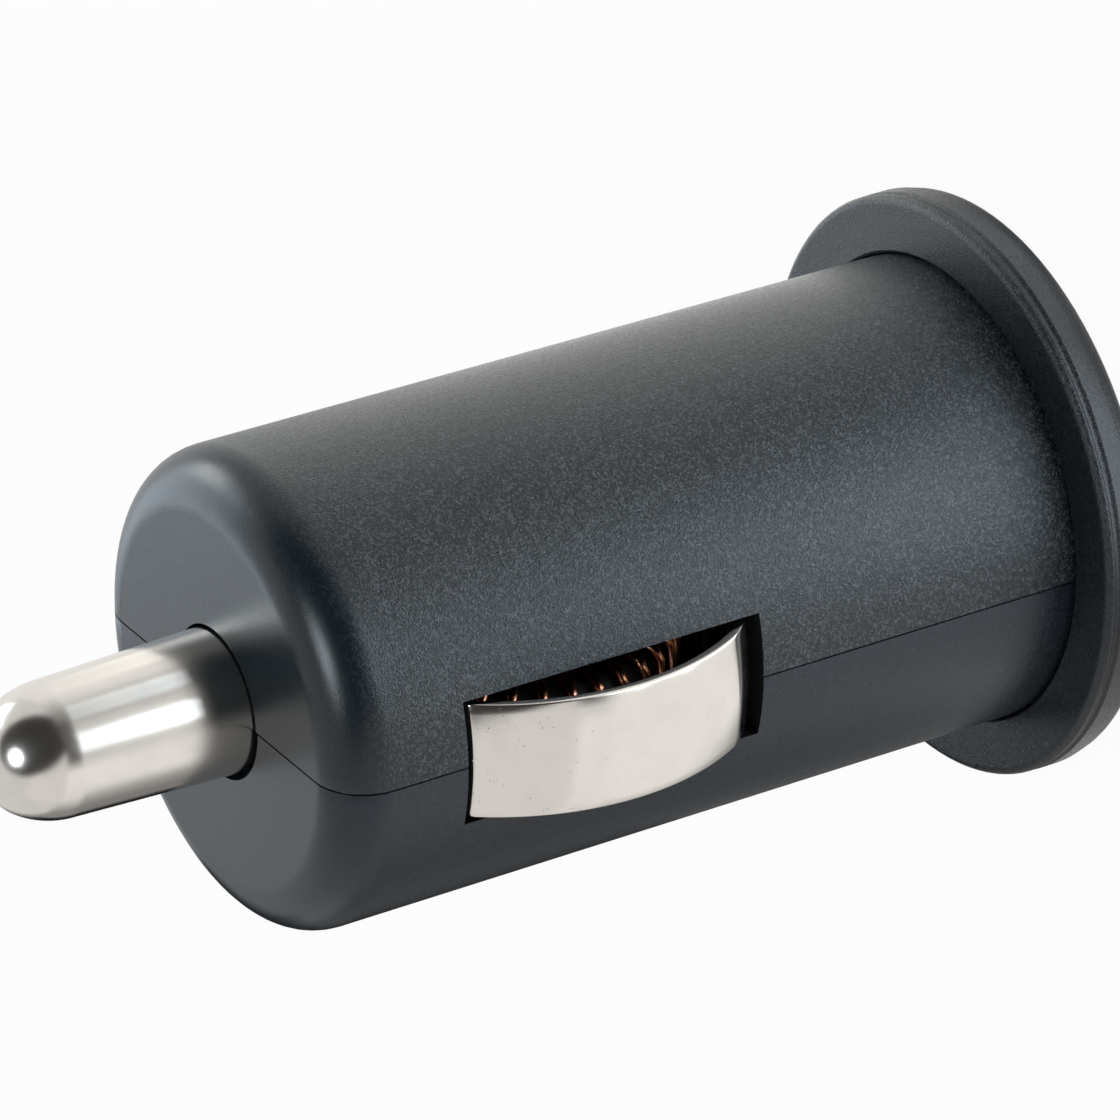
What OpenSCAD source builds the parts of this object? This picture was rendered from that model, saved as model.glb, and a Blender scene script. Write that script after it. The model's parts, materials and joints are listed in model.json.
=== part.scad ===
// Short USB charger for a vehicle's 12 V socket.
// It stands on its rear face, with the USB port down at z = 0 and the centre pin up along +Z.
// The two half shells part on the plane x = 0, which also runs through both side contacts.

/* [Barrel] */
// Diameter of the round body
barrel_d = 20.7; // [20.1:0.1:20.9]
// Length of the body from the collar to its front face
barrel_len = 35.6; // [35:0.2:42]
// Side wall of the half shells
barrel_wall = 1.2; // [0.9:0.1:1.3]
// Thickness of the front wall around the pin
nose_wall = 1.6; // [1.2:0.1:2]
// Radius of the rounded front edge
nose_round = 2.3; // [1.4:0.1:2.8]
// Depth of the lip that locates one half shell in the other
lip_depth = 0.6; // [0.4:0.1:0.8]
// Thickness of that lip
lip_t = 0.5; // [0.3:0.05:0.6]
// Width of the fine groove where the half shells meet
seam_w = 0.08; // [0.04:0.01:0.1]
// Depth of that groove
seam_depth = 0.12; // [0.06:0.02:0.16]
// Gap between pieces that are pushed together by hand
fit_gap = 0.06; // [0.04:0.01:0.08]

/* [Collar] */
// Outer diameter of the collar
collar_d = 25.9; // [24.8:0.1:28]
// Thickness of the collar, rear plate included
collar_t = 2.4; // [2.2:0.1:3]
// Radius of the collar's front edge
collar_front_round = 0.4; // [0.2:0.05:0.6]
// Depth of the fine groove right behind the collar's front edge
collar_groove = 0.12; // [0.08:0.02:0.2]
// Bevel round the front of the collar's bore
collar_bore_bevel = 0.12; // [0.06:0.02:0.2]
// Thickness of the rear plate
plate_t = 0.8; // [0.7:0.05:1]
// Radius of the rear plate's outer edge
plate_round = 0.5; // [0.3:0.05:0.6]
// How far the rear plate's edge stays inside the collar's
plate_step = 0.1; // [0.05:0.05:0.3]
// Height of the ring on the plate that plugs into the shells
neck_h = 2.4; // [1.8:0.1:2.6]
// Wall of that ring
neck_wall = 0.9; // [0.7:0.1:1]

/* [Centre pin] */
// Diameter of the pin where it leaves the body
pin_base_d = 6.24; // [5.6:0.02:6.4]
// Diameter of the pin where its nose begins
pin_nose_d = 5.8; // [5.2:0.05:5.8]
// How far the pin stands out of the front face
pin_out = 10.9; // [9:0.1:12]
// Length of the pin's rounded nose
pin_nose_len = 3.4; // [3.2:0.05:3.6]
// Radial gap between the pin and its hole
pin_gap = 0.14; // [0.1:0.01:0.16]
// How much larger the cover shell's half of that hole is
cover_hole_extra = 0.14; // [0.04:0.02:0.2]
// How far the pin can be pushed in
pin_travel = 2.2; // [1.6:0.1:2.4]
// Diameter of the pin's inner collar
pin_collar_d = 8.8; // [8:0.1:9.4]
// Thickness of the pin's inner collar
pin_collar_t = 1; // [0.8:0.1:1.4]
// Bore in the rear of the pin for its spring
pin_bore_d = 4.2; // [4.1:0.05:4.6]
// Depth of that bore
pin_bore_depth = 5; // [4:0.2:6]
// Wire of the pin spring
spring_wire = 0.4; // [0.3:0.05:0.5]
// Outside diameter of the pin spring
spring_d = 3.9; // [3.4:0.1:3.9]
// Turns of the pin spring
spring_turns = 7; // [5:1:8]

/* [Side contacts] */
// Length of the window along the body
window_len = 14.2; // [13.8:0.1:15]
// Width of the window
window_w = 5.65; // [5.4:0.05:6.4]
// Distance from the front face to the window
window_from_front = 5.8; // [5.6:0.1:6.4]
// Thickness of the contact strip
strip_t = 0.4; // [0.3:0.05:0.5]
// Gap between the strip and each side of its window
strip_side_gap = 0.22; // [0.15:0.01:0.3]
// How far the bow stands out of the body
bow_rise = 2.15; // [1.9:0.05:2.3]
// Radius of the bow along the body
bow_r = 11.15; // [10.8:0.05:11.6]
// Distance from the window's front edge to the top of the bow
bow_top = 7.05; // [6.8:0.05:7.3]
// Gap between the strip's front leg and the window's front edge
front_leg_gap = 0.15; // [0.1:0.01:0.2]
// Gap between the strip's rear leg and the window's rear edge
rear_leg_gap = 0.45; // [0.3:0.05:0.6]
// Length of the steeper end behind the fold
fold_len = 1.2; // [0.9:0.1:1.4]
// Height at which the steeper end turns inward, below the body's surface
fold_drop = 0.4; // [0.3:0.05:0.6]
// Length of each foot that hooks under the wall
foot_len = 1.8; // [1.4:0.1:2]
// How far a contact can be pushed in
strip_travel = 2; // [1.5:0.1:2.1]

/* [Circuit board] */
// Thickness of the board
board_t = 1; // [0.8:0.1:1.2]
// Width of the board
board_w = 13.2; // [12.8:0.1:13.3]
// Depth of the board's upper face below the middle plane
board_drop = 5.05; // [5.02:0.01:5.1]
// Thickness of the cross wall behind the pin
bulkhead_t = 0.9; // [0.7:0.1:1]

/* [Choke] */
// Outer diameter of the ring core
core_d = 13.6; // [12.8:0.1:13.8]
// Hole of the ring core
core_hole_d = 7.8; // [7:0.1:8.2]
// Height of the ring core
core_h = 4.1; // [3.6:0.1:4.1]
// Copper wire of the winding
copper_d = 0.45; // [0.35:0.05:0.45]
// Turns of the winding
copper_turns = 31; // [22:1:31]
// Part of the ring that carries turns, in degrees
wound_angle = 325; // [280:5:330]

/* [USB port] */
// Width of the opening inside the metal shell
port_w = 12.5; // [12.3:0.05:12.6]
// Height of the opening inside the metal shell
port_h = 5.12; // [4.9:0.02:5.3]
// Sheet of the metal shell
port_sheet = 0.3; // [0.25:0.05:0.35]
// Length of the metal shell
port_depth = 14; // [13.4:0.1:14.2]
// How far the metal shell lies behind the rear face
port_recess = 0.3; // [0.2:0.05:0.5]
// Thickness of the tongue
tongue_t = 1.84; // [1.7:0.02:1.9]
// Width of the tongue
tongue_w = 11.1; // [10.8:0.1:11.3]
// Free length of the tongue
tongue_len = 8; // [7.4:0.1:8]
// Diameter of the status light's window
lens_d = 1.5; // [1.2:0.1:1.8]

/* [Hidden] */
$fn = 96;

plastic_colour = [0.16, 0.18, 0.21];
nickel_colour = [0.82, 0.80, 0.76];
brass_colour = [0.80, 0.64, 0.30];
copper_colour = [0.66, 0.32, 0.18];

// Where things lie along the body
front_z = collar_t + barrel_len;
front_wall_z = front_z - nose_wall;
tip_z = front_z + pin_out;
window_top_z = front_z - window_from_front;
window_low_z = window_top_z - window_len;
shell_rear_z = plate_t;

// Where things lie across the body
barrel_r = barrel_d / 2;
bore_r = barrel_r - barrel_wall;
collar_r = collar_d / 2;
plate_r = collar_r - plate_step;
neck_r = bore_r - fit_gap;
neck_in_r = neck_r - neck_wall;
outer_reach = barrel_d + collar_d;

// Pin, its guide and its spring
pin_hole_r = pin_base_d / 2 + pin_gap;
pin_collar_r = pin_collar_d / 2;
pin_collar_z = front_wall_z - pin_collar_t;
guide_r = pin_collar_r + 0.15;
guide_wall = 1;
terminal_t = 0.4;
terminal_r = 3.2;
terminal_boss_r = 1.2;
terminal_boss_h = 0.8;
terminal_slack = 0.3;
terminal_top_z = pin_collar_z - pin_travel - terminal_slack;
terminal_z = terminal_top_z - terminal_t;
bulkhead_z = terminal_z - bulkhead_t;
bore_end_z = pin_collar_z + pin_bore_depth;
spring_end_gap = 0.02;
spring_sides = 6;
spring_steps = 16;

// Side contact, along the middle of its sheet
strip_w = window_w - 2 * strip_side_gap;
bow_top_z = window_top_z - bow_top;
bow_mid_r = bow_r - strip_t / 2;
bow_centre = barrel_r + bow_rise - bow_r;
front_leg_z = window_top_z - front_leg_gap - strip_t / 2;
rear_leg_z = window_low_z + rear_leg_gap + strip_t / 2;
fold_z = rear_leg_z + fold_len - strip_t / 2;
foot_gap = 0.07;
foot_mid_r = bore_r - foot_gap - strip_t / 2;
foot_front_z = front_leg_z + foot_len;
foot_rear_z = rear_leg_z - foot_len;
bend_r = barrel_r - fold_drop;
sector = 50;

// Board and what stands on it
board_top_x = -board_drop;
board_low_x = board_top_x - board_t;
board_rear_z = shell_rear_z + neck_h + 0.8;
board_front_z = terminal_z + terminal_t + 0.2;
board_slot_gap = 0.06;
ledge_w = 1.3;
post_t = 0.4;
post_gap = 0.05;
post_z = foot_rear_z - post_gap - post_t;
post_in_y = 5.75;
post_out_y = foot_mid_r - 0.4;
post_top_x = 2;
post_foot_len = 1.2;

// Choke, lying flat on the board
choke_gap = 0.06;
core_low_x = board_top_x + copper_d + 2 * choke_gap;
core_high_x = core_low_x + core_h;
choke_r = core_d / 2 + copper_d + choke_gap;
choke_z = bulkhead_z - 0.2 - choke_r;
core_round = 0.9;
copper_sides = 6;
copper_steps = 16;

// Round capacitors
input_cap_d = 6.3;
input_cap_len = 9.5;
input_cap_x = core_high_x + copper_d + 2 * choke_gap + input_cap_d / 2;
input_cap_z = choke_z - 4.4;
output_cap_d = 5;
output_cap_len = 8;
cap_lead_d = 0.5;
cap_lead_low_x = board_low_x - 0.6;
lead_hole_gap = 0.1;

// USB port
port_out_h = port_h + 2 * port_sheet;
port_out_w = port_w + 2 * port_sheet;
port_round = 0.6;
port_front_z = port_recess + port_depth;
port_hole_gap = 0.1;
tongue_top_gap = 0.45;
tongue_high_x = port_h / 2 - tongue_top_gap;
tongue_low_x = tongue_high_x - tongue_t;
block_t = 1.8;
block_z = port_front_z - block_t;
tongue_tip_z = block_z - tongue_len;
contact_y = [-3.5, -1, 1, 3.5];
contact_w = 1;
contact_t = 0.25;
tail_z = port_front_z + 0.15;
tail_t = 0.4;
leg_z = [port_recess + 4.6, port_recess + 10.6];
leg_w = 1.2;
leg_low_x = board_low_x + 0.05;

output_cap_x = port_out_h / 2 + output_cap_d / 2 + 0.03;
output_cap_z = board_rear_z + 1;
output_lead_y = 1;
output_lead_z = tail_z + tail_t + 0.9;
input_lead_y = 1.25;
input_lead_z = output_lead_z + 1.1;

// Status light
lens_x = board_top_x + 0.45;
lens_flange = 0.3;
lens_flange_t = 0.4;
lens_gap = 0.05;
lens_boss_z = plate_t + neck_h - 0.4;
lens_len = lens_boss_z + lens_flange_t + 0.4;
lens_boss_r = lens_d / 2 + lens_flange + 0.4;
led_size = [0.8, 1.6, 0.8];

// Round cans: the rolled neck near the open end
can_neck = 0.25;
can_neck_at = 1.3;

// Chip parts, as height, width and length
controller_size = [1.3, 3.9, 4.9];
controller_lift = 0.15;
controller_pitch = 1.27;
controller_leg_w = 0.4;
controller_leg_t = 0.2;
controller_leg_reach = 1;
controller_knee = 0.5;
diode_size = [2, 2.6, 4.4];
diode_cap = 0.6;
fuse_size = [0.7, 1.6, 3.2];
fuse_cap = 0.5;
fuse_z = choke_z + 4.5;
resistor_size = [0.5, 0.8, 1.6];
resistor_cap = 0.3;
resistor_pitch = 1.8;
resistor_z = leg_z[0] + 3;
ceramic_size = [1.1, 1.3, 2];
ceramic_cap = 0.4;
ceramic_y = 3.2;
diode_z = choke_z - 1;

solder_r = 0.48;
solder_bore_r = 0.3;
solder_h = 0.5;

// A box given by its lowest and highest corners
module span(low, high) {
    translate(low) cube(high - low);
}

// A flat bar of the sheet's thickness between two points of a path
module bar(from, to, t) {
    run = to - from;
    translate(from) rotate(atan2(run[1], run[0])) translate([0, -t / 2]) square([norm(run), t]);
}

// A rectangle with rounded corners, centred
module rounded_rect(size, r) {
    square([size[0] - 2 * r, size[1]], center = true);
    square([size[0], size[1] - 2 * r], center = true);
    for (sx = [-1, 1], sy = [-1, 1])
        translate([sx * (size[0] / 2 - r), sy * (size[1] / 2 - r)]) circle(r, $fn = 24);
}

// A round tube of wire swept along the points of a path
function unit(v) = v / norm(v);
function path_step(path, i) =
    path[min(i + 1, len(path) - 1)] - path[max(i - 1, 0)];
function ring_at(path, i, r, sides, side_axis) =
    let (t = unit(path_step(path, i)),
         u = unit(cross(t, side_axis)),
         v = cross(u, t))
    [for (k = [0 : sides - 1]) path[i] + r * (cos(360 * k / sides) * u + sin(360 * k / sides) * v)];

module wire(path, d, sides, axes) {
    rings = [for (i = [0 : len(path) - 1]) each ring_at(path, i, d / 2, sides, axes[i])];
    last = (len(path) - 1) * sides;
    walls = [for (i = [0 : len(path) - 2], k = [0 : sides - 1])
        let (a = i * sides + k, b = i * sides + (k + 1) % sides)
        [a, b, b + sides, a + sides]];
    start_cap = [[for (k = [sides - 1 : -1 : 0]) k]];
    end_cap = [[for (k = [0 : sides - 1]) last + k]];
    polyhedron(rings, concat(walls, start_cap, end_cap), convexity = 10);
}

// Outer form of the whole barrel, with its rounded front edge, or the same form drawn in by an inset
module barrel_form(inset = 0) {
    rotate_extrude() {
        square([barrel_r - inset, front_z - nose_round]);
        square([barrel_r - nose_round, front_z - inset]);
        translate([barrel_r - nose_round, front_z - nose_round]) circle(nose_round - inset);
    }
}

// Fine open groove where the two half shells meet
module seam() {
    difference() {
        span([-seam_w / 2, -outer_reach, shell_rear_z - 1], [seam_w / 2, outer_reach, tip_z]);
        barrel_form(seam_depth);
    }
}

// The half of space on one side of the parting plane
module half_space(side) {
    low_x = side > 0 ? 0 : -outer_reach;
    span([low_x, -outer_reach, -1], [low_x + outer_reach, outer_reach, tip_z + 1]);
}

// Cross wall behind the pin, with room for the feet of both side contacts
module bulkhead() {
    foot_room = window_w / 2 + 0.2;
    foot_edge_y = sqrt(pow(foot_mid_r - strip_t / 2, 2) - pow(strip_w / 2, 2));
    room_y = foot_edge_y - strip_travel - 0.25;
    difference() {
        translate([0, 0, bulkhead_z]) cylinder(h = bulkhead_t, r = bore_r + barrel_wall / 2);
        for (s = [-1, 1])
            span([-foot_room, s > 0 ? room_y : -barrel_r, bulkhead_z - 1],
                 [foot_room, s > 0 ? barrel_r : -room_y, terminal_z + 1]);
    }
}

// Room for the board, in the bulkhead and wherever the board reaches into the wall
module board_slot() {
    span([board_low_x - board_slot_gap, -board_w / 2 - board_slot_gap, board_rear_z - board_slot_gap],
         [board_top_x + board_slot_gap, board_w / 2 + board_slot_gap, board_front_z + board_slot_gap]);
}

// Ring that guides the pin's collar
module pin_guide(hole_r) {
    translate([0, 0, pin_collar_z - pin_travel])
        difference() {
            cylinder(h = pin_travel + pin_collar_t + nose_wall / 2, r = guide_r + guide_wall);
            translate([0, 0, -1]) cylinder(h = pin_travel + pin_collar_t + 1, r = guide_r);
            translate([0, 0, -1]) cylinder(h = front_z, r = hole_r);
        }
}

// Half of the hollow barrel, before its lip or rebate
module half_barrel(side) {
    hole_r = pin_hole_r + (side > 0 ? 0 : cover_hole_extra);
    intersection() {
        half_space(side);
        union() {
            difference() {
                barrel_form();
                translate([0, 0, -1]) cylinder(h = front_wall_z + 1, r = bore_r);
                cylinder(h = front_z + 1, r = hole_r);
                translate([0, 0, -1]) cylinder(h = shell_rear_z + 1, r = barrel_r + 1);
                seam();
                span([-window_w / 2, -barrel_r - 1, window_low_z],
                     [window_w / 2, barrel_r + 1, window_top_z]);
            }
            bulkhead();
            pin_guide(hole_r);
        }
    }
}

// The lip stands on the cover shell's edge and enters the main shell's rebate
module lip(grow) {
    low_z = shell_rear_z + neck_h + 0.6 - grow;
    high_z = window_low_z - 0.6 + grow;
    intersection() {
        difference() {
            translate([0, 0, low_z]) cylinder(h = high_z - low_z, r = bore_r + lip_t + grow);
            translate([0, 0, low_z - 1]) cylinder(h = high_z - low_z + 2, r = bore_r);
        }
        span([-lip_depth, -barrel_r, 0], [lip_depth + grow, barrel_r, front_z]);
    }
}

module main_shell() {
    color(plastic_colour)
        difference() {
            half_barrel(1);
            lip(fit_gap);
        }
}

// The ledges carry the edges of the circuit board
module board_ledges() {
    low_z = board_rear_z + 1.5;
    high_z = bulkhead_z - 2;
    intersection() {
        translate([0, 0, low_z]) cylinder(h = high_z - low_z, r = bore_r + barrel_wall / 2);
        union()
            for (s = [-1, 1])
                span([-bore_r, s > 0 ? board_w / 2 - ledge_w : -barrel_r, low_z],
                     [board_low_x - board_slot_gap, s > 0 ? barrel_r : ledge_w - board_w / 2, high_z]);
    }
}

module cover_shell() {
    color(plastic_colour)
        difference() {
            union() {
                half_barrel(-1);
                lip(0);
                board_ledges();
            }
            board_slot();
        }
}

// The ring in front of the rear plate, with a fine groove behind its front edge
module collar_cap() {
    groove_z = collar_t - collar_front_round - 0.12;
    color(plastic_colour)
        rotate_extrude()
            difference() {
                union() {
                    translate([0, plate_t])
                        square([collar_r, collar_t - collar_front_round - plate_t]);
                    square([collar_r - collar_front_round, collar_t]);
                    translate([collar_r - collar_front_round, collar_t - collar_front_round])
                        circle(collar_front_round, $fn = 32);
                }
                translate([-1, -1]) square([collar_d, plate_t + 1]);
                translate([-1, -1]) square([barrel_r + fit_gap + 1, collar_t + 2]);
                translate([barrel_r + fit_gap, collar_t])
                    rotate(45) square(collar_bore_bevel * sqrt(2), center = true);
                translate([collar_r + collar_groove, groove_z]) circle(2 * collar_groove, $fn = 24);
            }
}

module face_plate() {
    color(plastic_colour)
        difference() {
            union() {
                rotate_extrude() {
                    translate([0, plate_round]) square([plate_r, plate_t - plate_round]);
                    square([plate_r - plate_round, plate_t]);
                    translate([plate_r - plate_round, plate_round])
                        intersection() {
                            circle(plate_round, $fn = 32);
                            translate([-plate_round, -plate_round])
                                square([2 * plate_round, plate_t]);
                        }
                }
                cylinder(h = plate_t + neck_h, r = neck_r);
            }
            difference() {
                translate([0, 0, plate_t]) cylinder(h = neck_h + 1, r = neck_in_r);
                translate([lens_x, 0, 0]) cylinder(h = lens_boss_z, r = lens_boss_r);
            }
            translate([0, 0, -1])
                linear_extrude(plate_t + neck_h + 2)
                    rounded_rect([port_out_h + 2 * port_hole_gap, port_out_w + 2 * port_hole_gap],
                                 port_round + port_hole_gap);
            translate([lens_x, 0, -1]) cylinder(h = collar_t + neck_h + 2, r = lens_d / 2 + lens_gap);
        }
}

// The pin tapers forward, carries an inner collar and is bored for its spring
module centre_pin() {
    nose_r = pin_nose_d / 2;
    nose_z = tip_z - pin_nose_len;
    color(nickel_colour)
        rotate_extrude()
            difference() {
                union() {
                    translate([0, pin_collar_z]) square([pin_collar_r, pin_collar_t]);
                    translate([0, pin_collar_z]) square([pin_base_d / 2, front_z - pin_collar_z]);
                    polygon([[0, front_z - 0.5], [pin_base_d / 2, front_z - 0.5],
                             [pin_base_d / 2, front_z], [nose_r, nose_z], [0, nose_z]]);
                    nose_half(nose_r, nose_z);
                }
                translate([-1, pin_collar_z - 1]) square([pin_bore_d / 2 + 1, pin_bore_depth + 1]);
                translate([-2 * nose_r, 0]) square([2 * nose_r, tip_z + 1]);
            }
}

// Half outline of the nose: a shoulder arc that meets a smaller arc at the tip
module nose_half(nose_r, nose_z) {
    shoulder_r = pin_nose_len * pin_nose_len / nose_r;
    shoulder_x = nose_r - shoulder_r;
    tip_r = tip_arc(pin_nose_len, shoulder_r, shoulder_x);
    tip_y = pin_nose_len - tip_r;
    far = 2 * pin_nose_len;
    along = unit([-shoulder_x, tip_y]);
    translate([0, nose_z])
        intersection() {
            translate([shoulder_x, 0]) circle(shoulder_r);
            square([nose_r, pin_nose_len]);
            union() {
                translate([0, tip_y]) circle(tip_r);
                polygon([[0, 0], [0, tip_y], [0, tip_y] + far * along, [far, 0]]);
            }
        }
}

// Radius of the tip's arc that is tangent to the shoulder's arc
function tip_arc(len, shoulder_r, shoulder_x) =
    (shoulder_r * shoulder_r - shoulder_x * shoulder_x - len * len) / (2 * (shoulder_r - len));

module pin_spring() {
    low_z = terminal_top_z + spring_wire / 2 + spring_end_gap;
    high_z = bore_end_z - spring_wire / 2 - spring_end_gap;
    r = (spring_d - spring_wire) / 2;
    steps = spring_turns * spring_steps;
    path = [for (i = [0 : steps])
        let (a = 360 * i / spring_steps, f = i / steps)
        [r * cos(a), r * sin(a), low_z + (high_z - low_z) * f]];
    axes = [for (i = [0 : steps]) [0, 0, 1]];
    color("silver") wire(path, spring_wire, spring_sides, axes);
}

// Disc under the spring, with a boss that centres it and a strap down to the board
module spring_terminal() {
    strap_w = 2;
    color(brass_colour) {
        translate([0, 0, terminal_z]) {
            cylinder(h = terminal_t, r = terminal_r);
            cylinder(h = terminal_t + terminal_boss_h, r = terminal_boss_r);
        }
        span([board_top_x, -strap_w / 2, terminal_z], [0, strap_w / 2, terminal_top_z]);
    }
}

// Section of the bow contact, as radius and height: feet, legs, bow and fold
module strip_section() {
    front_r = bow_centre + sqrt(pow(bow_mid_r, 2) - pow(front_leg_z - bow_top_z, 2));
    fold_r = bow_centre + sqrt(pow(bow_mid_r, 2) - pow(fold_z - bow_top_z, 2));
    foot_front = [foot_mid_r, foot_front_z];
    heel_front = [foot_mid_r, front_leg_z];
    knee_front = [front_r, front_leg_z];
    fold = [fold_r, fold_z];
    knee_rear = [bend_r, rear_leg_z];
    heel_rear = [foot_mid_r, rear_leg_z];
    foot_rear = [foot_mid_r, foot_rear_z];
    bar(foot_front, heel_front, strip_t);
    bar(heel_front, knee_front, strip_t);
    intersection() {
        translate([bow_centre, bow_top_z])
            difference() {
                circle(bow_r, $fn = 180);
                circle(bow_r - strip_t, $fn = 180);
            }
        translate([bore_r / 2, fold_z]) square([bow_r, front_leg_z - fold_z]);
    }
    bar(fold, knee_rear, strip_t);
    bar(knee_rear, heel_rear, strip_t);
    bar(heel_rear, foot_rear, strip_t);
    for (corner = [heel_front, knee_front, fold, knee_rear, heel_rear])
        translate(corner) circle(strip_t / 2, $fn = 24);
}

// The strip is crowned: across its width it follows the round of the barrel
module side_contact(side) {
    color(nickel_colour)
        rotate(side > 0 ? 180 : 0)
            intersection() {
                rotate(-90 - sector / 2) rotate_extrude(angle = sector) strip_section();
                span([-strip_w / 2, -outer_reach, 0], [strip_w / 2, 0, front_z]);
            }
}

// A brass post on the board that the end of the contact's rear foot wipes on
module contact_post(side) {
    color(brass_colour)
        mirror([0, side > 0 ? 0 : 1, 0]) {
            span([board_top_x, post_in_y, post_z], [post_top_x, board_w / 2, post_z + post_t]);
            span([-post_top_x, post_in_y, post_z], [post_top_x, post_out_y, post_z + post_t]);
            span([board_top_x, post_in_y, post_z + post_t - post_foot_len],
                 [board_top_x + post_t, board_w / 2, post_z + post_t]);
        }
}

module circuit_board() {
    color("darkgreen")
        difference() {
            span([board_low_x, -board_w / 2, board_rear_z], [board_top_x, board_w / 2, board_front_z]);
            for (z = leg_z, s = [-1, 1])
                span([board_low_x - 1, s > 0 ? port_out_w / 2 - port_sheet - 0.15 : -board_w,
                      z - leg_w / 2 - 0.15],
                     [board_top_x + 1, s > 0 ? board_w : port_sheet + 0.15 - port_out_w / 2,
                      z + leg_w / 2 + 0.15]);
            for (y = contact_y)
                board_hole(y, tail_z + tail_t / 2, tail_t * 0.75 + lead_hole_gap);
            for (s = [-1, 1]) {
                board_hole(s * output_lead_y, output_lead_z, cap_lead_d / 2 + lead_hole_gap);
                board_hole(s * input_lead_y, input_lead_z, cap_lead_d / 2 + lead_hole_gap);
                board_hole(s * choke_lead_y(), choke_lead_z(), copper_d / 2 + lead_hole_gap);
            }
        }
}

module board_hole(y, z, r) {
    translate([board_low_x - 1, y, z]) rotate([0, 90, 0]) cylinder(h = board_t + 2, r = r, $fn = 24);
}

// The ring core lies flat, with its hole square to the board
module choke_core() {
    wall = (core_d - core_hole_d) / 2;
    color("dimgray")
        translate([core_low_x, 0, choke_z])
            rotate([0, 90, 0])
                rotate_extrude()
                    translate([core_hole_d / 2 + wall / 2, core_h / 2])
                        rounded_rect([wall, core_h], core_round);
}

// One turn is a rounded loop round the core's section, and each turn steps on round the ring
function loop_point(f) =
    let (wall = (core_d - core_hole_d) / 2,
         grow = copper_d / 2 + choke_gap,
         a = 360 * f,
         half_w = wall / 2 + grow,
         half_h = core_h / 2 + grow,
         c = cos(a),
         s = sin(a),
         squareness = 6,
         k = pow(pow(abs(c), squareness) + pow(abs(s), squareness), -1 / squareness))
    [half_w * k * c, half_h * k * s];

function choke_point(angle, p) =
    let (r = (core_d + core_hole_d) / 4 + p[0])
    [core_low_x + core_h / 2 + p[1], r * sin(angle), choke_z - r * cos(angle)];

function choke_lead_y() = choke_point((360 - wound_angle) / 2, loop_point(0))[1];
function choke_lead_z() = choke_point((360 - wound_angle) / 2, loop_point(0))[2];

// The first lead rises beside the core, and the last one leaves under it and drops to the board
module choke_winding() {
    start = (360 - wound_angle) / 2;
    finish = 360 - start;
    steps = (copper_turns - 0.25) * copper_steps;
    bend = copper_d;
    level = loop_point(0.75)[1];
    deep = cap_lead_low_x - core_low_x - core_h / 2;
    out = loop_point(0)[0];
    first = [[out, deep], [out, level]];
    last = [[out - bend, level], [out - bend / 4, level - bend / 4], [out, level - bend], [out, deep]];
    path = concat(
        [for (p = first) choke_point(start, p)],
        [for (i = [0 : steps])
            choke_point(start + wound_angle * i / steps, loop_point(i / copper_steps))],
        [for (p = last) choke_point(finish, p)]);
    angles = concat(
        [for (p = first) start],
        [for (i = [0 : steps]) start + wound_angle * i / steps],
        [for (p = last) finish]);
    axes = [for (a = angles) [0, cos(a), sin(a)]];
    color(copper_colour) wire(path, copper_d, copper_sides, axes);
}

// A round can with its rolled neck, its rubber bung and two bent leads
module round_capacitor(d, length, lead_y, lead_drop_x, lead_back) {
    color("midnightblue")
        rotate_extrude()
            difference() {
                square([d / 2, length]);
                translate([d / 2 + can_neck, can_neck_at]) circle(2 * can_neck, $fn = 24);
            }
    color("silver")
        for (s = [-1, 1]) {
            translate([0, s * lead_y, -lead_back])
                cylinder(h = lead_back, r = cap_lead_d / 2, $fn = 24);
            translate([-lead_drop_x, s * lead_y, -lead_back])
                rotate([0, 90, 0]) cylinder(h = lead_drop_x, r = cap_lead_d / 2, $fn = 24);
            translate([0, s * lead_y, -lead_back]) sphere(cap_lead_d / 2, $fn = 24);
        }
}

module input_capacitor() {
    translate([input_cap_x, 0, input_cap_z])
        round_capacitor(input_cap_d, input_cap_len, input_lead_y,
                        input_cap_x - cap_lead_low_x, input_cap_z - input_lead_z);
}

module output_capacitor() {
    translate([output_cap_x, 0, output_cap_z + output_cap_len])
        mirror([0, 0, 1])
            round_capacitor(output_cap_d, output_cap_len, output_lead_y,
                            output_cap_x - cap_lead_low_x,
                            output_lead_z - output_cap_z - output_cap_len);
}

// Eight-legged controller under the metal shell
module controller_chip() {
    z = (leg_z[0] + leg_z[1]) / 2;
    half_y = controller_size[1] / 2;
    mid_x = board_top_x + controller_lift + controller_size[0] / 2 - controller_leg_t;
    color([0.08, 0.08, 0.08])
        translate([board_top_x + controller_lift, -half_y, z - controller_size[2] / 2])
            cube(controller_size);
    color("silver")
        for (s = [0, 1], k = [-1.5 : 1 : 1.5])
            mirror([0, s, 0])
                translate([0, 0, z + k * controller_pitch - controller_leg_w / 2])
                    linear_extrude(controller_leg_w) {
                        translate([mid_x, half_y]) square([controller_leg_t, controller_knee]);
                        translate([board_top_x, half_y + controller_knee - controller_leg_t])
                            square([mid_x + controller_leg_t - board_top_x, controller_leg_t]);
                        translate([board_top_x, half_y + controller_knee - controller_leg_t])
                            square([controller_leg_t, controller_leg_reach - controller_knee + controller_leg_t]);
                    }
}

// A chip part under the board: a body with a metal cap at each end
module low_chip(size, cap, y, z, body_colour) {
    color(body_colour)
        translate([board_low_x - size[0], y - size[1] / 2, z - size[2] / 2 + cap])
            cube([size[0], size[1], size[2] - 2 * cap]);
    color("silver")
        for (end_z = [z - size[2] / 2, z + size[2] / 2 - cap])
            translate([board_low_x - size[0], y - size[1] / 2, end_z])
                cube([size[0], size[1], cap]);
}

module rectifier_diode() {
    low_chip(diode_size, diode_cap, 0, diode_z, [0.1, 0.1, 0.1]);
}

module chip_fuse() {
    low_chip(fuse_size, fuse_cap, 0, fuse_z, "ivory");
}

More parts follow.
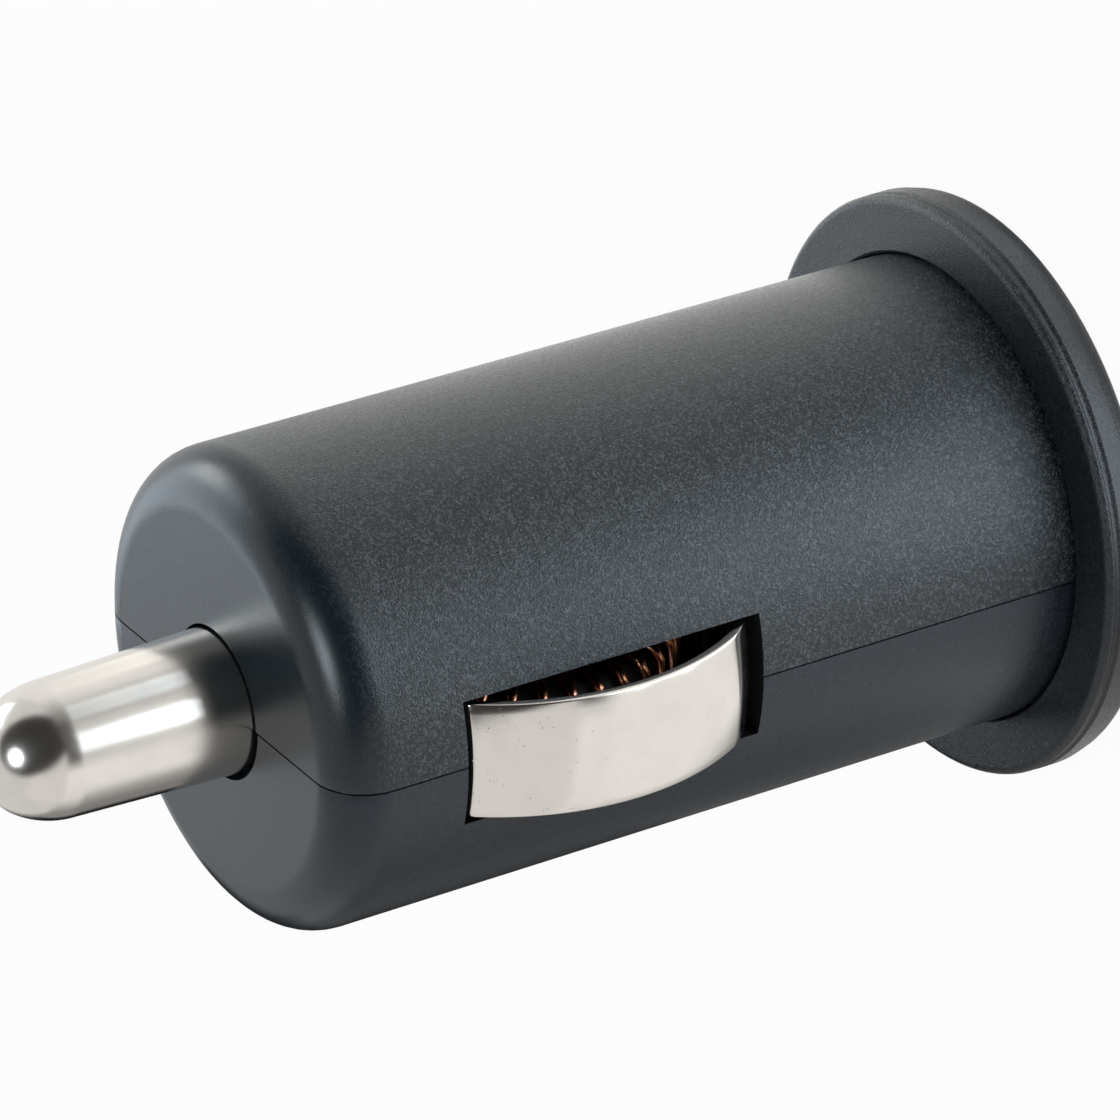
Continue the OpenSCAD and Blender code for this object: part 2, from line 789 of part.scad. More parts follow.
module chip_resistors() {
    for (k = [-1.5 : 1 : 1.5])
        low_chip(resistor_size, resistor_cap, k * resistor_pitch, resistor_z, [0.12, 0.12, 0.14]);
}

module chip_capacitors() {
    for (s = [-1, 1])
        low_chip(ceramic_size, ceramic_cap, s * ceramic_y, diode_z, "tan");
}

module status_led() {
    color("white")
        translate([board_top_x, -led_size[1] / 2, board_rear_z + 0.05]) cube(led_size);
}

// Clear rod whose flange seats on the rear plate's boss from inside
module led_lens() {
    color("azure")
        translate([lens_x, 0, 0]) {
            cylinder(h = lens_len, r = lens_d / 2);
            translate([0, 0, lens_boss_z]) cylinder(h = lens_flange_t, r = lens_d / 2 + lens_flange);
        }
}

// Folded sheet-metal shell with spring fingers and four legs
module usb_shell() {
    finger = [2.2, 5];
    slit = 0.35;
    finger_z = port_recess + 3;
    color("silver") {
        difference() {
            translate([0, 0, port_recess])
                linear_extrude(port_depth)
                    difference() {
                        rounded_rect([port_out_h, port_out_w], port_round);
                        rounded_rect([port_h, port_w], port_round - port_sheet);
                    }
            for (s = [-1, 1], y = [-3.2, 3.2]) {
                low_x = s > 0 ? port_h / 2 - 0.5 : -port_h / 2 - 1;
                for (e = [-1, 1])
                    translate([low_x, y + e * (finger[0] + slit) / 2 - slit / 2, finger_z])
                        cube([1.5, slit, finger[1]]);
                translate([low_x, y - (finger[0] + slit) / 2 - slit / 2, finger_z])
                    cube([1.5, finger[0] + 2 * slit, slit]);
            }
        }
        for (z = leg_z, s = [-1, 1])
            span([leg_low_x, s > 0 ? port_out_w / 2 - port_sheet : -port_out_w / 2, z - leg_w / 2],
                 [-port_out_h / 2 + port_round + 0.5, s > 0 ? port_out_w / 2 : port_sheet - port_out_w / 2,
                  z + leg_w / 2]);
    }
}

// Insulator: a block that closes the shell and the tongue that carries the contacts
module usb_tongue() {
    block_gap = 0.05;
    color("white")
        difference() {
            union() {
                translate([0, 0, block_z])
                    linear_extrude(block_t)
                        rounded_rect([port_h - 2 * block_gap, port_w - 2 * block_gap],
                                     port_round - port_sheet);
                span([tongue_low_x, -tongue_w / 2, tongue_tip_z],
                     [tongue_high_x, tongue_w / 2, block_z + 0.5]);
            }
            for (y = contact_y)
                span([tongue_low_x - 1, y - contact_w / 2 - 0.03, tongue_tip_z + 0.6],
                     [tongue_low_x + contact_t + 0.03, y + contact_w / 2 + 0.03, port_front_z + 1]);
        }
}

module usb_contacts() {
    color("gold")
        for (y = contact_y) {
            span([tongue_low_x, y - contact_w / 2, tongue_tip_z + 0.65],
                 [tongue_low_x + contact_t, y + contact_w / 2, tail_z + tail_t]);
            span([cap_lead_low_x, y - tail_t / 2, tail_z], [tongue_low_x + contact_t, y + tail_t / 2, tail_z + tail_t]);
        }
}

// A cone of solder round a lead
module solder_joint(y, z) {
    translate([board_low_x - solder_h, y, z])
        rotate([0, 90, 0])
            difference() {
                cylinder(h = solder_h, r1 = solder_bore_r + 0.06, r2 = solder_r, $fn = 24);
                translate([0, 0, -1]) cylinder(h = solder_h + 2, r = solder_bore_r, $fn = 24);
            }
}

module solder_joints() {
    color("lightgray") {
        for (y = contact_y) solder_joint(y, tail_z + tail_t / 2);
        for (s = [-1, 1]) {
            solder_joint(s * output_lead_y, output_lead_z);
            solder_joint(s * input_lead_y, input_lead_z);
            solder_joint(s * choke_lead_y(), choke_lead_z());
        }
    }
}

main_shell();
cover_shell();
collar_cap();
face_plate();
centre_pin();
pin_spring();
spring_terminal();
side_contact(-1);  // side_contact_left
side_contact(1);  // side_contact_right
contact_post(-1);  // contact_post_left
contact_post(1);  // contact_post_right
circuit_board();
choke_core();
choke_winding();
input_capacitor();
output_capacitor();
controller_chip();
rectifier_diode();
chip_fuse();
chip_resistors();
chip_capacitors();
status_led();
led_lens();
usb_shell();
usb_tongue();
usb_contacts();
solder_joints();
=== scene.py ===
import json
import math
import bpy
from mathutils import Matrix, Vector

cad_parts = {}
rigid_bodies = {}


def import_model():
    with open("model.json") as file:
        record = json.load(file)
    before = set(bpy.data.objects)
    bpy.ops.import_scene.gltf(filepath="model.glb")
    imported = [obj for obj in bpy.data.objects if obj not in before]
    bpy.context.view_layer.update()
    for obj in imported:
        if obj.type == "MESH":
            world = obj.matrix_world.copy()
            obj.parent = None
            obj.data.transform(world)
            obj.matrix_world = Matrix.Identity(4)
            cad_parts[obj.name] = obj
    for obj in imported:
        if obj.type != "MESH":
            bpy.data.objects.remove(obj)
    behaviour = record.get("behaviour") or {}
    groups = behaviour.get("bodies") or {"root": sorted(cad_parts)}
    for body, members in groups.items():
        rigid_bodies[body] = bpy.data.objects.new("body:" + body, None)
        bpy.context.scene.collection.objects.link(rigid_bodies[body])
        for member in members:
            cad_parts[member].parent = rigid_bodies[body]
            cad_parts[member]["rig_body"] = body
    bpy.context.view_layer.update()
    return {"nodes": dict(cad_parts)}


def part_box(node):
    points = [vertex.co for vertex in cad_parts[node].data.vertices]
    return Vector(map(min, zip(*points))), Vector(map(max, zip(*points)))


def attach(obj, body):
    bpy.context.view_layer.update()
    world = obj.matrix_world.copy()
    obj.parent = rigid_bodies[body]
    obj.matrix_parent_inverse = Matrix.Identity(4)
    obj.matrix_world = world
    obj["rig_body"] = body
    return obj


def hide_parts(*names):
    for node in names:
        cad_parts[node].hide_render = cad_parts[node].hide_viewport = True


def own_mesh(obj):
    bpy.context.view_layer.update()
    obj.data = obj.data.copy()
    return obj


bl_info = {
    "name": "Socket charger finish",
    "version": (1, 0, 0),
    "blender": (4, 5, 0),
    "location": "3D View > Sidebar > Charger",
    "description": "Gives a 12 V socket charger its surfaces, fine pieces, light and camera",
    "category": "Object",
}

import bmesh
import bpy
from bpy.props import FloatProperty, FloatVectorProperty, IntProperty, PointerProperty
from mathutils import Matrix, Vector

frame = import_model()
CAD_NODES = frame["nodes"]
MM = 0.001

# Places that the pieces share, read from the frame
RIM_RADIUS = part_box("collar_cap")[1].x
NOSE_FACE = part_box("main_shell")[1].z
PIN_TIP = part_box("centre_pin")[1].z
PIN_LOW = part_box("centre_pin")[0].z
BOARD_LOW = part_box("circuit_board")[0].x

# Soft boxes: name, shape, azimuth and elevation in degrees, distance, width and height in metres,
# the setting that holds the brightness, and colour
SOFT_BOXES = (
    ("Key light", "ELLIPSE", -50, 66, 0.45, 0.17, 0.15, "key", (0.86, 0.94, 1.0)),
    ("Back light", "RECTANGLE", 84, 28, 0.5, 0.6, 0.34, "back", (0.74, 0.88, 1.0)),
    ("Rim light", "ELLIPSE", 68, 20, 0.5, 0.16, 0.2, "rim", (1.0, 1.0, 0.96)),
    ("Side light", "RECTANGLE", -126, 20, 0.45, 0.5, 0.4, "side", (1.0, 0.99, 0.96)),
)
COOL, WARM = (0.80, 0.92, 1.0), (1.0, 1.0, 0.90)
# Low cards: name, azimuth in degrees, nearest and farthest reach and width in millimetres,
# share of the cards' brightness, and colour
LOW_CARDS = (
    ("Near card", -63, 13.4, 26, 13, 1.0, COOL),
    ("Middle card", -63, 26, 52, 26, 1.0, COOL),
    ("Far card", -61, 52, 112, 52, 1.0, COOL),
    ("Rim card", -18, 13.2, 17, 14, 0.48, COOL),
    ("Pin card", -10, 80, 112, 44, 0.45, COOL),
    ("Main card", 54, 13.4, 100, 64, 0.2, WARM),
)


def length(name, description, millimetres):
    """A size in metres that the sidebar shows with its unit."""
    return FloatProperty(
        name=name, description=description, default=millimetres * MM, min=0, precision=5,
        subtype="DISTANCE", unit="LENGTH")


def share(name, description, value, highest=1.0):
    """A plain number from nought to a highest value."""
    return FloatProperty(name=name, description=description, default=value, min=0, max=highest)


def tint(name, description, red, green, blue):
    """A colour, in linear light."""
    return FloatVectorProperty(
        name=name, description=description, default=(red, green, blue), min=0, max=1, size=3,
        subtype="COLOR")


def turn(name, description, degrees):
    """An angle, kept in radians and shown in degrees."""
    return FloatProperty(
        name=name, description=description, default=math.radians(degrees), subtype="ANGLE", unit="ROTATION")


class ShellSettings(bpy.types.PropertyGroup):
    main_colour: tint("Main shell", "Charcoal plastic of the main shell", 0.006, 0.013, 0.019)
    cover_colour: tint(
        "Cover shell", "Charcoal plastic of the cover shell and, darker, the collar", 0.008, 0.015, 0.024)
    grain_size: length("Grain size", "Width of one pit of the spark-eroded surface", 0.075)
    grain_depth: length("Grain depth", "Depth of the spark-eroded surface", 0.045)
    gloss: share("Roughness", "Roughness of the grained plastic", 0.33)
    # Painted glint: how much paler the brightest grains are painted, standing in for their facets catching
    # the lamps.
    painted_glint: share("Painted glint", "How much paler the brightest grains are", 0.075, 0.2)
    smooth_gloss: share("Front roughness", "Roughness of the smooth front face", 0.31)
    edge_round: length("Edge rounding", "Rounding of the moulded edges", 0.04)


class PinSettings(bpy.types.PropertyGroup):
    base_diameter: length("Base diameter", "Diameter where the pin leaves the body", 6.24)
    nose_diameter: length("Nose diameter", "Diameter where the rounded nose begins", 5.8)
    nose_length: length("Nose length", "Length of the rounded nose", 3.4)
    collar_diameter: length("Collar diameter", "Inner collar that keeps the pin in", 8.8)
    collar_thickness: length("Collar thickness", "Thickness of the inner collar", 1.0)
    bore_diameter: length("Bore diameter", "Bore for the spring", 4.2)
    bore_depth: length("Bore depth", "Depth of the bore for the spring", 5.0)
    edge_round: length("Edge rounding", "Rounding of the turned edges", 0.08)
    nickel: tint("Nickel", "Warm nickel plating", 0.76, 0.72, 0.67)


class ContactSettings(bpy.types.PropertyGroup):
    width: length("Width", "Width of the strip", 5.21)
    thickness: length("Thickness", "Thickness of the sheet", 0.4)
    bow_radius: length("Bow radius", "Radius of the bow along the body, outside", 11.15)
    bow_height: length("Bow height", "Distance of the bow's top from the rear face", 25.15)
    bow_centre: length("Bow centre", "Distance of the bow's centre from the axis", 1.35)
    fold_height: length("Fold height", "Distance of the fold from the rear face", 19.65)
    bend_radius: length("Bend distance", "Distance from the axis where the end turns inward", 9.95)
    foot_distance: length("Foot distance", "Distance of the hooked feet from the axis", 8.88)
    corner_round: length("Bend rounding", "Radius of the sheet's bends, along its middle", 0.3)
    edge_round: length("Edge rounding", "Rounding of the stamped edges", 0.07)


class WindingSettings(bpy.types.PropertyGroup):
    turns: IntProperty(name="Turns", description="Turns of copper on the core", default=31, min=3)
    wire: length("Wire", "Diameter of the enamelled wire", 0.45)
    core_diameter: length("Core diameter", "Outer diameter of the ring core", 13.6)
    hole_diameter: length("Hole diameter", "Hole of the ring core", 7.8)
    core_height: length("Core height", "Height of the ring core", 4.1)
    slack: length("Slack", "Gap between the wire and the core", 0.06)
    wound: turn("Wound part", "Part of the ring that carries turns", 325)
    unevenness: turn("Unevenness", "How far a turn may lie beside its even place", 1.1)
    copper: tint("Copper", "Enamelled copper", 0.98, 0.43, 0.26)


class SpringSettings(bpy.types.PropertyGroup):
    turns: IntProperty(name="Turns", description="Turns of the pin spring", default=7, min=2)
    wire: length("Wire", "Wire of the pin spring", 0.4)
    outside: length("Outside diameter", "Outside diameter of the pin spring", 3.9)
    travel: length("Travel", "How far the pin can be pushed in", 2.2)


class StageSettings(bpy.types.PropertyGroup):
    azimuth: turn("Azimuth", "Direction of the camera round the object", 31.741)
    elevation: turn("Elevation", "Height of the camera above the floor, as an angle", 27.769)
    roll: turn("Roll", "Turn of the camera about its own line of sight", -106.37)
    distance: length("Distance", "Distance of the camera from its aim", 300)
    lens: FloatProperty(name="Lens", description="Focal length in millimetres", default=228.83, min=1)
    floor: tint("Floor", "Plain pale floor", 0.8, 0.8, 0.8)
    backdrop: share("Backdrop", "How far the floor shows as plain white to the camera", 0.95)
    mirrored: share("Mirrored", "How far reflections show the floor's own white, with its grey sectors", 1.0)
    walls: share("Walls", "How white the walls show in reflections", 0.76)
    sky: share("Sky", "Brightness of the even light from all round", 0.22, 4)
    key: share("Key", "Brightness of the soft box above the camera", 8.6, 20)
    back: share("Back", "Brightness of the wide soft box behind the object", 2.0, 20)
    rim: share("Rim", "Brightness of the small soft box behind the main shell", 3.4, 20)
    side: share("Side", "Brightness of the wide soft box beside the cover shell", 0.06, 20)
    card: share("Card", "Brightness of the low cards in front of the object", 2.9, 20)


def add(tree, kind, sockets=None, **settings):
    """Adds one node, with its settings, and fills or links its sockets."""
    made = tree.nodes.new(kind)
    for key, value in settings.items():
        setattr(made, key, value)
    for key, value in (sockets or {}).items():
        if isinstance(value, bpy.types.NodeSocket):
            tree.links.new(value, made.inputs[key])
        else:
            made.inputs[key].default_value = value
    return made


def reckon(tree, operation, *values):
    """One sum on numbers, in a material's or a geometry's tree."""
    return add(tree, "ShaderNodeMath", dict(enumerate(values)), operation=operation).outputs[0]


def product(tree, first, *others):
    """All the values multiplied together."""
    for value in others:
        first = reckon(tree, "MULTIPLY", first, value)
    return first


def dimmed(colour, part):
    """The same tint at that part of its brightness."""
    return tuple(part * channel for channel in colour)


def direction(azimuth, elevation=0):
    """The way from the object towards an angle round Z and an angle above the floor, in degrees."""
    around, lift = math.radians(azimuth), math.radians(elevation)
    return Vector((math.cos(around) * math.cos(lift), math.sin(around) * math.cos(lift), math.sin(lift)))


class Finish:
    """A procedural material on the piece's own coordinates."""

    def __init__(self, name, colour, roughness, metallic=0.0, **sockets):
        self.material = bpy.data.materials.new(name)
        self.material.use_nodes = True
        self.tree = self.material.node_tree
        self.shader = self.tree.nodes["Principled BSDF"]
        self.place = add(self.tree, "ShaderNodeTexCoord").outputs["Object"]
        self.normal = None
        self.fill("Base Color", (*colour, 1))
        self.fill("Roughness", roughness)
        self.fill("Metallic", metallic)
        for key, value in sockets.items():
            self.fill(key.replace("_", " "), value)

    def fill(self, socket, value):
        """Sets or links one socket of the shader."""
        if isinstance(value, bpy.types.NodeSocket):
            self.tree.links.new(value, self.shader.inputs[socket])
        else:
            self.shader.inputs[socket].default_value = value

    def stretched(self, x, y, z):
        """The piece's coordinates, stretched along its axes."""
        mapping = add(self.tree, "ShaderNodeMapping", {"Vector": self.place, "Scale": (x, y, z)})
        return mapping.outputs["Vector"]

    def noise(self, size, detail=2.0, place=None, rough=0.5):
        """Soft noise whose features are about that size, in metres."""
        made = add(self.tree, "ShaderNodeTexNoise", {
            "Vector": place or self.place, "Scale": 1 / size, "Detail": detail, "Roughness": rough})
        return made.outputs["Fac"]

    def cells(self, size, output="Distance"):
        """Scattered cells with that spacing, in metres: the distance to a centre, or a colour for each."""
        made = add(self.tree, "ShaderNodeTexVoronoi", {"Vector": self.place, "Scale": 1 / size})
        return made.outputs[output]

    def remap(self, value, low, high, to_low=0.0, to_high=1.0):
        """A value taken from one range to another, held at the ends."""
        made = add(self.tree, "ShaderNodeMapRange", {
            "Value": value, "From Min": low, "From Max": high, "To Min": to_low, "To Max": to_high})
        return made.outputs["Result"]

    def mixed(self, factor, first, second):
        """One colour that goes over to another as the factor rises."""
        made = add(self.tree, "ShaderNodeMix", data_type="RGBA")
        for socket, value in ((0, factor), (6, first), (7, second)):
            if isinstance(value, bpy.types.NodeSocket):
                self.tree.links.new(value, made.inputs[socket])
            elif socket == 0:
                made.inputs[socket].default_value = value
            else:
                made.inputs[socket].default_value = (*value, 1)
        return made.outputs[2]

    def clouded(self, value, low, high, colour, part):
        """Lets the colour go down to that part of its brightness as the value rises."""
        mixed = self.mixed(self.remap(value, low, high), colour, dimmed(colour, part))
        self.fill("Base Color", mixed)
        return mixed

    def sum(self, operation, *values):
        """One sum on numbers, in this material."""
        return reckon(self.tree, operation, *values)

    def along(self, axis):
        """One of the piece's own coordinates."""
        return add(self.tree, "ShaderNodeSeparateXYZ", {0: self.place}).outputs[axis]

    def raised(self, height, depth):
        """Adds relief of that depth, in metres, over the relief that is there."""
        sockets = {"Height": height, "Distance": depth, "Strength": 1.0}
        if self.normal:
            sockets["Normal"] = self.normal
        self.normal = add(self.tree, "ShaderNodeBump", sockets).outputs["Normal"]
        self.fill("Normal", self.normal)


def plastic(name, colour, settings, grain=1.0, painted_glint=1.0):
    """Spark-eroded charcoal plastic whose fine grain dies out towards the smooth front face, with paler
    grains painted in as glints.
    """
    made = Finish(name, colour, settings.gloss, IOR=1.5)
    grained_below, smooth_above = NOSE_FACE - 3.4 * MM, NOSE_FACE - 1.2 * MM
    speck_height, speck_shine = 0.35, 0.07
    ripple_size, ripple_depth = 0.9 * MM, 0.005 * MM
    worked = made.remap(made.along(2), grained_below, smooth_above, 1.0, 0.08)
    fine = made.noise(settings.grain_size, 1.5, rough=0.6)
    facets = made.cells(1.15 * settings.grain_size, "Color")
    speck = add(made.tree, "ShaderNodeSeparateColor", {0: facets}).outputs[0]
    grains = made.sum("MULTIPLY_ADD", speck, speck_height, fine)
    shine = made.sum("MULTIPLY", made.remap(speck, 0, 1, -speck_shine, speck_shine), worked)
    base = made.remap(worked, 0, 1, settings.smooth_gloss, settings.gloss)
    made.fill("Roughness", made.sum("ADD", base, shine))
    # Painted glints: the brightest grains get a paler base colour, standing in for facets that catch the
    # lamps.
    spark = made.sum("MULTIPLY", made.remap(speck, 0.55, 1.0), worked)
    light = tuple(channel + settings.painted_glint * painted_glint for channel in colour)
    made.fill("Base Color", made.mixed(spark, dimmed(colour, 0.8), light))
    made.raised(made.noise(ripple_size, 2), ripple_depth)
    made.raised(made.sum("MULTIPLY", grains, worked), settings.grain_depth * grain)
    return made.material


def nickel(name, colour, roughness, pits=None):
    """Warm nickel plating with faint drawing lines and, between two heights, ever more small pits."""
    haze_size, line_size, pit_spacing, patch_size = 1.4 * MM, 0.12 * MM, 0.2 * MM, 0.7 * MM
    made = Finish(name, colour, roughness, 1.0)
    haze = made.noise(haze_size, 3)
    lines = made.noise(line_size, 2, made.stretched(1, 1, 0.12))
    made.fill("Roughness", made.remap(haze, 0.3, 0.7, roughness - 0.02, roughness + 0.02))
    clean = made.clouded(haze, 0.45, 0.7, colour, 0.96)
    made.raised(lines, 0.001 * MM)
    if pits:
        crowd = made.remap(made.along(2), *pits)
        spot = made.remap(made.cells(pit_spacing), 0.1, 0.2, 1, 0)
        patch = made.remap(made.noise(patch_size, 2), 0.55, 0.62)
        pit = made.sum("MULTIPLY", made.sum("MULTIPLY", spot, patch), crowd)
        made.fill("Base Color", made.mixed(pit, clean, (0.30, 0.27, 0.25)))
        made.raised(made.sum("SUBTRACT", 1.0, pit), 0.004 * MM)
    return made.material


def dull_metal(name, colour, roughness, size=0.4 * MM):
    """Plain plated or tinned metal, a little cloudy."""
    made = Finish(name, colour, roughness, 1.0)
    cloud = made.noise(size, 3)
    made.fill("Roughness", made.remap(cloud, 0.3, 0.7, roughness - 0.05, roughness + 0.08))
    made.clouded(cloud, 0.4, 0.7, colour, 0.82)
    made.raised(cloud, 0.004 * MM)
    return made.material


def moulded(name, colour, roughness, size=0.25 * MM, depth=0.006 * MM, **sockets):
    """Plain moulded or coated stuff with a fine grain and a little change of colour."""
    made = Finish(name, colour, roughness, **sockets)
    grain = made.noise(size, 3)
    made.clouded(grain, 0.35, 0.7, colour, 0.8)
    made.fill("Roughness", made.remap(grain, 0.3, 0.7, roughness - 0.04, roughness + 0.06))
    made.raised(grain, depth)
    return made.material


def enamel(name, colour):
    """Copper wire under clear enamel."""
    made = Finish(name, colour, 0.25, 1.0, Coat_Weight=0.6, Coat_Roughness=0.15)
    streak = made.noise(0.3 * MM, 3)
    made.clouded(streak, 0.35, 0.7, colour, 0.85)
    made.raised(streak, 0.0006 * MM)
    return made.material


def solder_mask(name):
    """Green board with darker and lighter fields where copper runs under the mask."""
    made = Finish(name, (0.012, 0.085, 0.035), 0.3, Coat_Weight=0.4, Coat_Roughness=0.15)
    upright = add(made.tree, "ShaderNodeMapping", {
        "Vector": made.place, "Rotation": (0, math.radians(90), 0)}).outputs["Vector"]
    bricks = add(made.tree, "ShaderNodeTexBrick", {
        "Vector": upright, "Scale": 1.0, "Mortar Size": 0.12 * MM, "Brick Width": 3.1 * MM,
        "Row Height": 1.27 * MM, "Color1": (1, 1, 1, 1), "Color2": (0.8, 0.8, 0.8, 1),
        "Mortar": (0, 0, 0, 1)}, offset=0.37)
    copper = made.remap(bricks.outputs["Color"], 0.1, 0.9)
    made.fill("Base Color", made.mixed(copper, (0.008, 0.05, 0.022), (0.018, 0.12, 0.05)))
    made.raised(copper, 0.02 * MM)
    return made.material


def clear(name, colour):
    """Clear moulded plastic for the light's window."""
    made = Finish(name, colour, 0.12, IOR=1.49, Transmission_Weight=1.0)
    made.raised(made.noise(0.5 * MM, 2), 0.004 * MM)
    return made.material


def new_object(name, mesh, finishes=()):
    """Puts a mesh in the scene as an object at the origin."""
    piece = bpy.data.objects.new(name, mesh)
    bpy.context.scene.collection.objects.link(piece)
    if finishes:
        mesh.materials.clear()
    for finish in finishes:
        mesh.materials.append(finish)
    return piece


def seat(piece, body, slot, *nodes):
    """Puts a piece on the body it rides on and hides the nodes it stands for; the slot is not used."""
    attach(piece, body)
    if nodes:
        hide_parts(*nodes)
    return piece


def body_of_node(node):
    """The body that carries a node."""
    return CAD_NODES[node]["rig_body"]


def settle(piece):
    """Turns a piece with its modifiers into a plain mesh."""
    depsgraph = bpy.context.evaluated_depsgraph_get()
    mesh = bpy.data.meshes.new_from_object(piece.evaluated_get(depsgraph))
    mesh.name = piece.name
    piece.modifiers.clear()
    piece.data = mesh
    return piece


def shade(mesh, degrees=32):
    """Smooth faces, with creases where they meet at more than that angle."""
    for face in mesh.polygons:
        face.use_smooth = True
    mesh.set_sharp_from_angle(angle=math.radians(degrees))


def finished_copy(node, finish, slot, edge=0.0, corner=40):
    """Stands for a node with a copy of its mesh, merged, with its sharp edges rounded."""
    mesh = CAD_NODES[node].data.copy()
    mesh.name = node + "_finished"
    work = bmesh.new()
    work.from_mesh(mesh)
    bmesh.ops.remove_doubles(work, verts=work.verts, dist=0.0005 * MM)
    bmesh.ops.dissolve_limit(work, angle_limit=math.radians(0.4), verts=work.verts, edges=work.edges)
    work.to_mesh(mesh)
    work.free()
    piece = new_object(node + "_finished", mesh, [finish])
    for face in mesh.polygons:
        face.material_index = 0
    if edge:
        bevel = piece.modifiers.new("Edge rounding", "BEVEL")
        bevel.width = edge
        bevel.segments = 2
        bevel.limit_method = "ANGLE"
        bevel.angle_limit = math.radians(corner)
        bevel.use_clamp_overlap = True
        settle(piece)
    shade(piece.data)
    flatter = piece.modifiers.new("Flat faces", "WEIGHTED_NORMAL")
    flatter.keep_sharp = True
    flatter.weight = 90
    settle(piece)
    return seat(piece, body_of_node(node), slot, node)


def rounded_profile(points, radius, steps=4):
    """A radius and height outline whose inner corners are rounded."""
    made = [Vector(points[0])]
    for before, corner, after in zip(points, points[1:], points[2:]):
        corner = Vector(corner)
        towards, onwards = Vector(before) - corner, Vector(after) - corner
        reach = min(radius, 0.45 * towards.length, 0.45 * onwards.length)
        start = corner + towards.normalized() * reach
        end = corner + onwards.normalized() * reach
        for step in range(steps + 1):
            share_of = step / steps
            made.append(start.lerp(corner, share_of).lerp(corner.lerp(end, share_of), share_of))
    made.append(Vector(points[-1]))
    return made


def turned(name, outline, segments=128):
    """A closed mesh turned about the Z axis from an outline of radius and height."""
    work = bmesh.new()
    rings = []
    for radius, height in outline:
        if radius < 1e-7:
            rings.append([work.verts.new((0, 0, height))])
            continue
        angles = (math.tau * k / segments for k in range(segments))
        rings.append([
            work.verts.new((radius * math.cos(angle), radius * math.sin(angle), height)) for angle in angles])
    for low, high in zip(rings, rings[1:]):
        for k in range(segments):
            after = (k + 1) % segments
            if len(low) == 1 and len(high) > 1:
                work.faces.new((low[0], high[after], high[k]))
            elif len(high) == 1 and len(low) > 1:
                work.faces.new((low[k], low[after], high[0]))
            elif len(low) > 1:
                work.faces.new((low[k], low[after], high[after], high[k]))
    return closed_mesh(name, work)


def closed_mesh(name, work):
    """Ends the work on a closed mesh, with every face turned outward."""
    bmesh.ops.recalc_face_normals(work, faces=work.faces)
    mesh = bpy.data.meshes.new(name)
    work.to_mesh(mesh)
    work.free()
    return mesh


def new_tree(name, inputs):
    """A geometry tree with named inputs: each is a name, a kind of socket and a default."""
    tree = bpy.data.node_groups.new(name, "GeometryNodeTree")
    tree.interface.new_socket(name="Geometry", in_out="OUTPUT", socket_type="NodeSocketGeometry")
    for label, kind, default in inputs:
        socket = tree.interface.new_socket(name=label, in_out="INPUT", socket_type=kind)
        if default is not None:
            socket.default_value = default
    return tree, tree.nodes.new("NodeGroupInput").outputs


def stepped_curve(tree, turns, steps):
    """A curve with so many points a turn, and at each point the turns so far and the share of the whole."""
    count = reckon(tree, "ADD", product(tree, turns, steps), 1.0)
    line = add(tree, "GeometryNodeMeshLine", {"Count": count})
    curve = add(tree, "GeometryNodeMeshToCurve", {"Mesh": line.outputs[0]})
    index = add(tree, "GeometryNodeInputIndex").outputs[0]
    part = reckon(tree, "DIVIDE", index, reckon(tree, "SUBTRACT", count, 1.0))
    return curve.outputs[0], reckon(tree, "DIVIDE", index, steps), part


def placed(tree, centre, x, y, z):
    """A point given by how far it lies from a centre."""
    offset = add(tree, "ShaderNodeCombineXYZ", {0: x, 1: y, 2: z}).outputs[0]
    return add(tree, "ShaderNodeVectorMath", {0: offset, 1: centre}, operation="ADD").outputs[0]


def end_tree(tree, curve, wire, sides, finish):
    """Ends a tree with round wire along its curve, as real geometry with its material."""
    ring = add(tree, "GeometryNodeCurvePrimitiveCircle", {
        "Resolution": sides, "Radius": product(tree, wire, 0.5)})
    tube = add(tree, "GeometryNodeCurveToMesh", {
        "Curve": curve, "Profile Curve": ring.outputs[0], "Fill Caps": True})
    smooth = add(tree, "GeometryNodeSetShadeSmooth", {"Geometry": tube.outputs[0]})
    real = add(tree, "GeometryNodeRealizeInstances", {"Geometry": smooth.outputs[0]})
    dressed = add(tree, "GeometryNodeSetMaterial", {"Geometry": real.outputs[0], "Material": finish})
    add(tree, "NodeGroupOutput", {0: dressed.outputs[0]})
    return tree


def grown(name, tree, values):
    """A plain mesh made by a geometry tree from the values of its named inputs."""
    piece = new_object(name, bpy.data.meshes.new(name))
    modifier = piece.modifiers.new("Grown", "NODES")
    modifier.node_group = tree
    for item in tree.interface.items_tree:
        if item.in_out == "INPUT":
            modifier[item.identifier] = values[item.name]
    return settle(piece)


